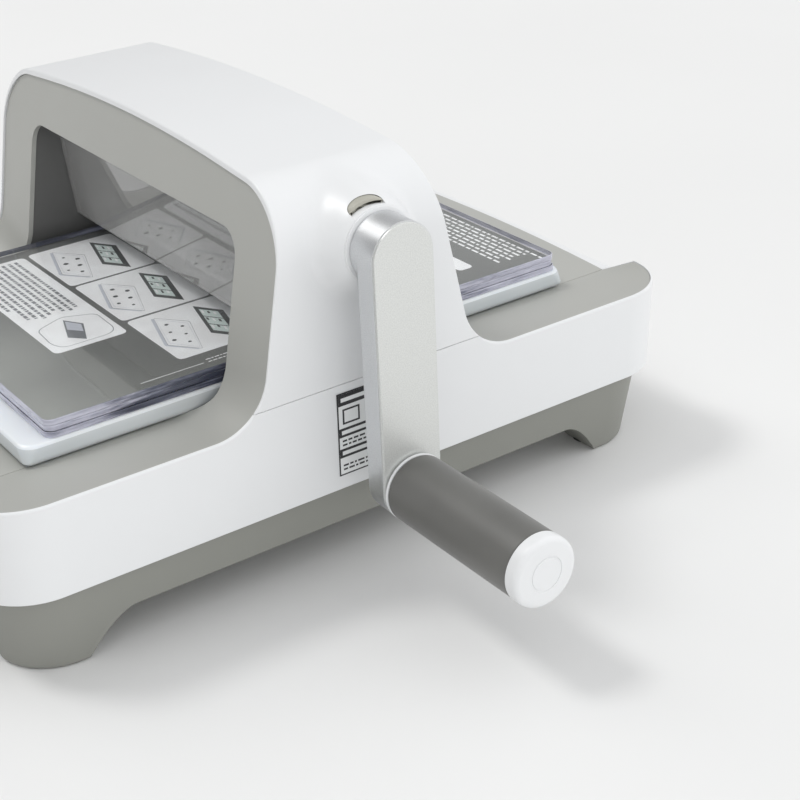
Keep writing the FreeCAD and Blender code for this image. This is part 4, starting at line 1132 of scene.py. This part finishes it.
# ---- printed card ------------------------------------------------------------------------------
def rounded_polygon(corners, r, steps=5):
    """A polygon with its corners rounded by quadratic curves."""
    pts = []
    n = len(corners)
    for i in range(n):
        p, a, b = Vector(corners[i]), Vector(corners[i - 1]), Vector(corners[(i + 1) % n])
        p0 = p + (a - p).normalized() * r
        p2 = p + (b - p).normalized() * r
        for k in range(steps + 1):
            t = k / steps
            pts.append(tuple(p0 * (1 - t) ** 2 + p * 2 * t * (1 - t) + p2 * t * t))
    return pts


class Print:
    """Flat printed shapes, each a hair above the last, gathered into one mesh."""

    def __init__(self, z):
        self.z = z
        self.points, self.faces, self.marks = [], [], []

    def area(self, outline, ink, level):
        first = len(self.points)
        self.points += [(x, y, self.z + SHEET_GAP * level) for x, y in outline]
        self.faces.append(tuple(range(first, len(self.points))))
        self.marks.append(ink)

    def rect(self, x0, x1, y0, y1, ink, level, r=0.0):
        corners = [(x0, y0), (x1, y0), (x1, y1), (x0, y1)]
        self.area(rounded_polygon(corners, r) if r else corners, ink, level)

    def frame(self, outline, inner, ink, level):
        first = len(self.points)
        n = len(outline)
        self.points += [(x, y, self.z + SHEET_GAP * level) for x, y in outline + inner]
        for i in range(n):
            k = (i + 1) % n
            self.faces.append((first + i, first + k, first + n + k, first + n + i))
            self.marks.append(ink)


INK_WHITE, INK_DARK, INK_GREY, INK_PALE, INK_GREEN = range(5)


def shrink(outline, by):
    """An outline drawn in towards its middle."""
    centre = Vector(np.mean(np.array(outline), axis=0))
    out = []
    for p in outline:
        v = Vector(p) - centre
        out.append(tuple(centre + v * (1 - by / v.length)))
    return out


def dashes(sheet, rng, x0, x1, y, height, ink, level, pitch):
    """A row of dashes of uneven length, in place of a line of small print."""
    x = x0
    while x < x1 - 1.0:
        length = min(pitch * (0.4 + 0.9 * rng.random()), x1 - x)
        sheet.rect(x, x + length, y, y + height, ink, level)
        x += length + 0.3 * pitch


def slant(corners, u, v):
    """Point at (u, v) inside a slanted four-cornered figure."""
    a = Vector(corners[0]).lerp(Vector(corners[1]), u)
    b = Vector(corners[3]).lerp(Vector(corners[2]), u)
    return tuple(a.lerp(b, v))


def slanted_box(corners, u0, u1, v0, v1):
    return [slant(corners, u, v) for u, v in ((u0, v0), (u1, v0), (u1, v1), (u0, v1))]


def small_card(sheet, x, y, rng):
    """White card with a dotted plate and a dark-framed panel, both drawn slanted."""
    sheet.rect(x - 1.2, x + 58.2, y, y + 53, INK_WHITE, 1, 3.5)
    plate = [(x + 4, y + 13.5), (x + 39, y + 3.5), (x + 54, y + 15.5), (x + 20, y + 26.5)]
    outline = rounded_polygon(plate, 1.5)
    sheet.area([(px - 0.3, py - 1.5) for px, py in outline], INK_PALE, 2)
    sheet.area(outline, INK_WHITE, 3)
    sheet.frame(outline, shrink(outline, 0.35), INK_GREY, 4)
    inner = rounded_polygon(shrink(plate, 2.4), 1.0)
    sheet.frame(inner, shrink(inner, 0.3), INK_PALE, 4)
    for u in (0.22, 0.5, 0.78):
        for v in (0.28, 0.72):
            sheet.area(circle(0.9 + 0.7 * rng.random(), 8, *slant(plate, u, v)), INK_DARK, 5)
    frame = [(x + 4, y + 37), (x + 40, y + 28), (x + 55, y + 38.5), (x + 19, y + 47)]
    sheet.area(frame, INK_DARK, 2)
    sheet.area(slanted_box(frame, 0.09, 0.89, 0.14, 0.78), INK_GREEN, 3)
    for i in range(3):
        for j in range(3):
            u, v = 0.12 + 0.27 * i + 0.03 * rng.random(), 0.18 + 0.2 * j
            mark = slanted_box(frame, u, u + (0.07 + 0.06 * rng.random()), v, v + 0.08)
            sheet.area(mark, INK_DARK if (i + j) % 2 else INK_WHITE, 4)
    for u in (0.35, 0.64):
        sheet.area(slanted_box(frame, u, u + 0.025, 0.1, 0.82), INK_DARK, 4)


def card_ink(name, colour, roughness=0.4):
    """Offset print on coated card: a faint mottle in the ink."""
    n = Nodes(name)
    return n.principled({
        "Base Color": n.mottle(70.0, 5.0, shade(colour, 0.93), shade(colour, 1.05)),
        "Roughness": n.spread(n.noise(300.0, 3.0), roughness - 0.05, roughness + 0.05),
        "Normal": n.bump(n.noise(1200.0, 2.0), 0.01)})


def card_sheet_ink():
    """Dark olive-grey flood print that clouds lighter towards the front."""
    n = Nodes("card_flood")
    front = n.add("ShaderNodeMapRange", {
        "Value": n.along_y(), "From Min": -0.08, "From Max": -0.17, "To Max": 0.5})
    cloud = n.calc("ADD", n.noise(7.0, 3.0), front.outputs[0])
    tone = n.ramp(cloud, [
        (0.3, (0.13, 0.13, 0.125)), (0.55, (0.17, 0.172, 0.16)), (1.0, (0.34, 0.345, 0.315))])
    return n.principled({
        "Base Color": tone, "Roughness": n.spread(n.noise(200.0, 4.0), 0.3, 0.4),
        "Normal": n.bump(n.noise(900.0, 3.0), 0.02)})


def print_heading(ink, rng):
    """Panel at the front of the card: a boxed figure and rows of dashes."""
    ink.rect(-97, 36.5, -111.6, -70.6, INK_WHITE, 1, 4.0)
    box = rounded_polygon([
        (-4.5, -90), (3.4, -107), (24, -108.5), (32, -105), (32, -78), (27, -73.6), (3.4, -73)], 4.0)
    ink.frame(box, shrink(box, 0.45), INK_GREY, 2)
    ink.area([(0, -90.7), (21.8, -98), (29.8, -91), (10.9, -84)], INK_GREY, 3)
    ink.area([(2.4, -90.5), (12.6, -94), (20, -88.2), (11, -85.3)], INK_PALE, 4)
    for i in range(9):
        end = -8 - 6 * rng.random() if i < 8 else -30
        dashes(ink, rng, -93, end, -78.4 - 3.85 * i, 1.9, INK_GREY, 2, 3.2)


def print_margin(ink, rng):
    """Bars along the card's right-hand edge."""
    ink.rect(94.2, 94.75, -93.4, -58.5, INK_WHITE, 1)
    for x, length in ((91.3, 40), (94.3, 26)):
        y = -56.0
        while y < -56 + length:
            step = 1.0 + 2.2 * rng.random()
            ink.rect(x, x + 0.9, y, y + step, INK_WHITE, 1)
            y += step + 0.6


def build_card():
    """The dark sheet, and its print just above it."""
    hw, hl, cy, z0, z1 = plan_box("print_card")
    plan = rounded_plan(hw, hl, STACK_R - 1.5, cy, 8)
    obj = lofted("card_sheet", [[(x, y, z) for x, y in plan] for z in (z0 + 0.03, z1 - 0.15)])
    piece(freeze(obj, 40), "plates", "card", card_sheet_ink(), "print_card")

    rng = np.random.default_rng(7)
    ink = Print(z1 - 0.14)
    print_heading(ink, rng)
    for i in range(3):
        for y in (-67.8 + 0.8 * i, -9.5, 48.5):
            small_card(ink, -97 + 61.3 * i, y, rng)
    print_margin(ink, rng)
    ink.rect(-97, 86, 106.5, 116, INK_WHITE, 1, 3.0)
    for i in range(7):
        end = 58 + (30 + 5 * rng.random() if i < 6 else 47)
        dashes(ink, rng, -60 + 40 * rng.random(), end, 129.5 + 3.6 * i, 1.5, INK_WHITE, 1, 5.0)
    obj = link("card_print", raw_mesh("card_print", ink.points, ink.faces, ink.marks))
    inks = [card_ink("ink_white", (0.97, 0.955, 0.945)), card_ink("ink_dark", (0.075, 0.078, 0.075)),
            card_ink("ink_grey", (0.22, 0.225, 0.235)), card_ink("ink_pale", (0.62, 0.63, 0.68)),
            card_ink("ink_green", (0.72, 0.80, 0.76))]
    piece(obj, "plates", "card", inks)


# ---- guard, label, feet --------------------------------------------------------------------------
GUARD_LOW_Y, GUARD_HIGH_Y = 25.8, 31.11   # how far its face stands from the middle, below and above
GUARD_T = 2.5
GUARD_GAP = 0.1
LABEL_BORDER = 0.8
FOOT_PAD_R = 8.0


def build_guard(name, node, side):
    """Clear panel with polished edges, leaning like the CAD panel."""
    z0, z1 = plan_box(node)[3:]
    low, high = -GUARD_LOW_Y, -GUARD_HIGH_Y
    outline = [(low, z0), (high, z1), (high + GUARD_T, z1), (low + GUARD_T, z0)]
    half = MOUTH_HALF_W - GUARD_GAP
    obj = lofted(name, along_x([(side * y, z) for y, z in outline], (-half, half)))
    soften(obj, 0.35, segments=2)
    piece(freeze(obj), "machine", "guard_clear", GUARD, node)


def label_film():
    """Satin film, nearly white."""
    n = Nodes("label_film")
    tone = n.mottle(20.0, 3.0, (0.80, 0.81, 0.81), (0.86, 0.87, 0.87))
    return n.principled({"Base Color": tone, "Roughness": n.spread(n.noise(120.0), 0.25, 0.35)})


def build_label():
    """Rating label with a border, plain bars and rows of dashes."""
    (_, y0, z0), (_, y1, z1) = mm_box("label_plate")
    rng = np.random.default_rng(3)
    points, faces, marks = [], [], []
    film, ink = 0, 1
    edge = LABEL_BORDER

    def wall_x(z, lift):
        return HALF_W - DRAFT * max(RIM_Z - z, 0.0) + lift

    def patch(a0, a1, b0, b1, mark, lift):
        """A patch from y a0 to a1 and z b0 to b1, laid on the drafted wall."""
        levels = [b0] + ([RIM_Z] if b0 < RIM_Z < b1 else []) + [b1]
        for za, zb in zip(levels, levels[1:]):
            first = len(points)
            for a, z in ((a0, za), (a1, za), (a1, zb), (a0, zb)):
                points.append((wall_x(z, lift), a, z))
            faces.append((first, first + 1, first + 2, first + 3))
            marks.append(mark)

    patch(y0, y1, z0, z1, ink, 0.10)
    patch(y0 + edge, y1 - edge, z0 + edge, z1 - edge, film, 0.14)
    for b0, b1 in ((z1 - 7.0, z1 - edge), (z1 - 24.5, z1 - 19.5), (z1 - 36.0, z1 - 31.0)):
        patch(y0 + edge, y1 - edge, b0, b1, ink, 0.17)
        end, middle = y0 + 2.2 + 20 * (0.7 + 0.3 * rng.random()), (b0 + b1) / 2
        patch(y0 + 2.2, end, middle - 1.1, middle + 1.1, film, 0.2)
    patch(y0 + 3, y0 + 13, z1 - 17.5, z1 - 9, ink, 0.17)
    patch(y0 + 4, y0 + 12, z1 - 16.5, z1 - 10, film, 0.19)
    for z in (z1 - 29.5, z1 - 27.2, z1 - 41.0, z1 - 43.2):
        y = y0 + 2.5
        while y < y1 - 4:
            step = 1.2 + 2.6 * rng.random()
            patch(y, min(y + step, y1 - 2), z, z + 1.0, ink, 0.17)
            y += step + 0.8
    obj = link("rating_label", raw_mesh("rating_label", points, faces, marks))
    inks = [label_film(), card_ink("label_ink", (0.03, 0.03, 0.032), 0.35)]
    piece(obj, "machine", "label", inks, "label_plate")


def build_foot_pads():
    """A rubber disc in each foot."""
    low, high = mm_box("foot_pads")
    r = FOOT_PAD_R
    points, faces = [], []
    for x in (low[0] + r, high[0] - r):
        for y in (low[1] + r, high[1] - r):
            profile = ((0.0, r - 0.5), (0.35, r), (high[2], r))
            pad, pad_faces = loft([[(u, v, z) for u, v in circle(q, 48, x, y)] for z, q in profile])
            faces += [tuple(i + len(points) for i in face) for face in pad_faces]
            points += pad
    obj = link("rubber_feet", raw_mesh("rubber_feet", points, faces))
    piece(freeze(obj, 40), "machine", "foot_rubber", FOOT, "foot_pads")


CAD_FINISH = (
    (STEEL, "side_frame_left side_frame_right outer_plate crank_shaft handle_spindle"),
    (ROLLER, "upper_roller lower_roller"),
    (GEAR, "crank_pinion drive_gear sync_gear_upper sync_gear_lower"),
    (ZINC, "frame_spacers tie_rods tie_nuts frame_screws base_screws hub_screw spindle_screw"),
    (ZINC, "upper_roller_clips lower_roller_clips"),
    (BRONZE, "upper_bush_left upper_bush_right lower_bush_left lower_bush_right"),
    (BRONZE, "crank_bush_inner crank_bush_outer"),
    (CORE, "grip_core"),
)


def finish_cad_nodes():
    """Materials for the parts that are shown as the CAD has them."""
    for material, names in CAD_FINISH:
        for name in names.split():
            materials = frame["nodes"][name].data.materials
            materials.clear()
            materials.append(material)


# ---- stage, lights and camera ----------------------------------------------------------------------
def floor_material():
    """Matt, nearly white."""
    n = Nodes("pale_floor")
    tone = n.mottle(2.0, 3.0, (0.80, 0.80, 0.795), (0.82, 0.82, 0.815))
    return n.principled({"Base Color": tone, "Roughness": 0.75, "Specular IOR Level": 0.2})


def build_floor():
    """Wide pale floor."""
    corners = [(x * FLOOR_SIZE, y * FLOOR_SIZE, 0) for x, y in ((-1, -1), (1, -1), (1, 1), (-1, 1))]
    floor = link("floor", raw_mesh("floor", corners, [(0, 1, 2, 3)]))
    floor.data.materials.append(floor_material())


def build_lights():
    """A sky that brightens one way, and two soft suns."""
    world = bpy.data.worlds.new("studio")
    scene.world = world
    world.use_nodes = True
    tree = world.node_tree
    sky = tree.nodes["Background"]
    sky.inputs["Color"].default_value = (0.985, 0.992, 1.0, 1.0)
    way = tree.nodes.new("ShaderNodeTexCoord").outputs["Generated"]
    lean = tree.nodes.new("ShaderNodeVectorMath")
    lean.operation = "DOT_PRODUCT"
    lean.inputs[1].default_value = SKY_SLOPE
    tree.links.new(way, lean.inputs[0])
    level = tree.nodes.new("ShaderNodeMath")
    level.operation = "MULTIPLY_ADD"
    level.inputs[1].default_value = SKY_LEVEL
    level.inputs[2].default_value = SKY_LEVEL
    tree.links.new(lean.outputs["Value"], level.inputs[0])
    tree.links.new(level.outputs[0], sky.inputs["Strength"])

    add_sun("key", 0.72, 14, (-0.42, -0.38, 1.0))
    add_sun("side_softbox", 0.40, 34, (-0.66, -0.26, 0.70))


def add_sun(name, energy, width, towards):
    """A distant soft light; width is its angular size in degrees."""
    sun = bpy.data.lights.new(name, "SUN")
    sun.energy = energy
    sun.angle = math.radians(width)
    sun.color = (1.0, 0.995, 0.985)
    link(name, sun).rotation_euler = Vector(towards).to_track_quat("Z", "Y").to_euler()


def build_camera():
    """The view from the front right, a little above, rolled slightly."""
    cam = bpy.data.cameras.new("camera")
    cam.sensor_width = 36.0
    cam.lens = CAMERA_LENS
    obj = link("camera", cam)
    forward = Vector(CAMERA_FORWARD).normalized()
    up = Vector(CAMERA_RIGHT).cross(forward).normalized()
    right = forward.cross(up).normalized()
    place = Vector(CAMERA_PLACE) * MM
    obj.matrix_world = Matrix((
        (right.x, up.x, -forward.x, place.x),
        (right.y, up.y, -forward.y, place.y),
        (right.z, up.z, -forward.z, place.z),
        (0, 0, 0, 1)))
    scene.camera = obj


# ---- build -----------------------------------------------------------------------------------------
build_camera()
build_lower_shell()
build_arch_cover()
build_fascia("front_bezel", "front_fascia", 1)
build_fascia("rear_bezel", "rear_fascia", -1)
build_bed("front_tray_floor", "front_bed", 1)
build_bed("rear_tray_floor", "rear_bed", -1)
build_liner("passage_wall_right", "liner_right", 1)
build_liner("passage_wall_left", "liner_left", -1)
build_base()
build_arm()
build_grip()
build_collar()
build_button()
build_spring()
build_platform()
build_plates()
build_card()
build_guard("front_guard_panel", "front_guard", 1)
build_guard("rear_guard_panel", "rear_guard", -1)
build_label()
build_foot_pads()
finish_cad_nodes()
build_floor()
build_lights()
scene.view_settings.view_transform = "Standard"
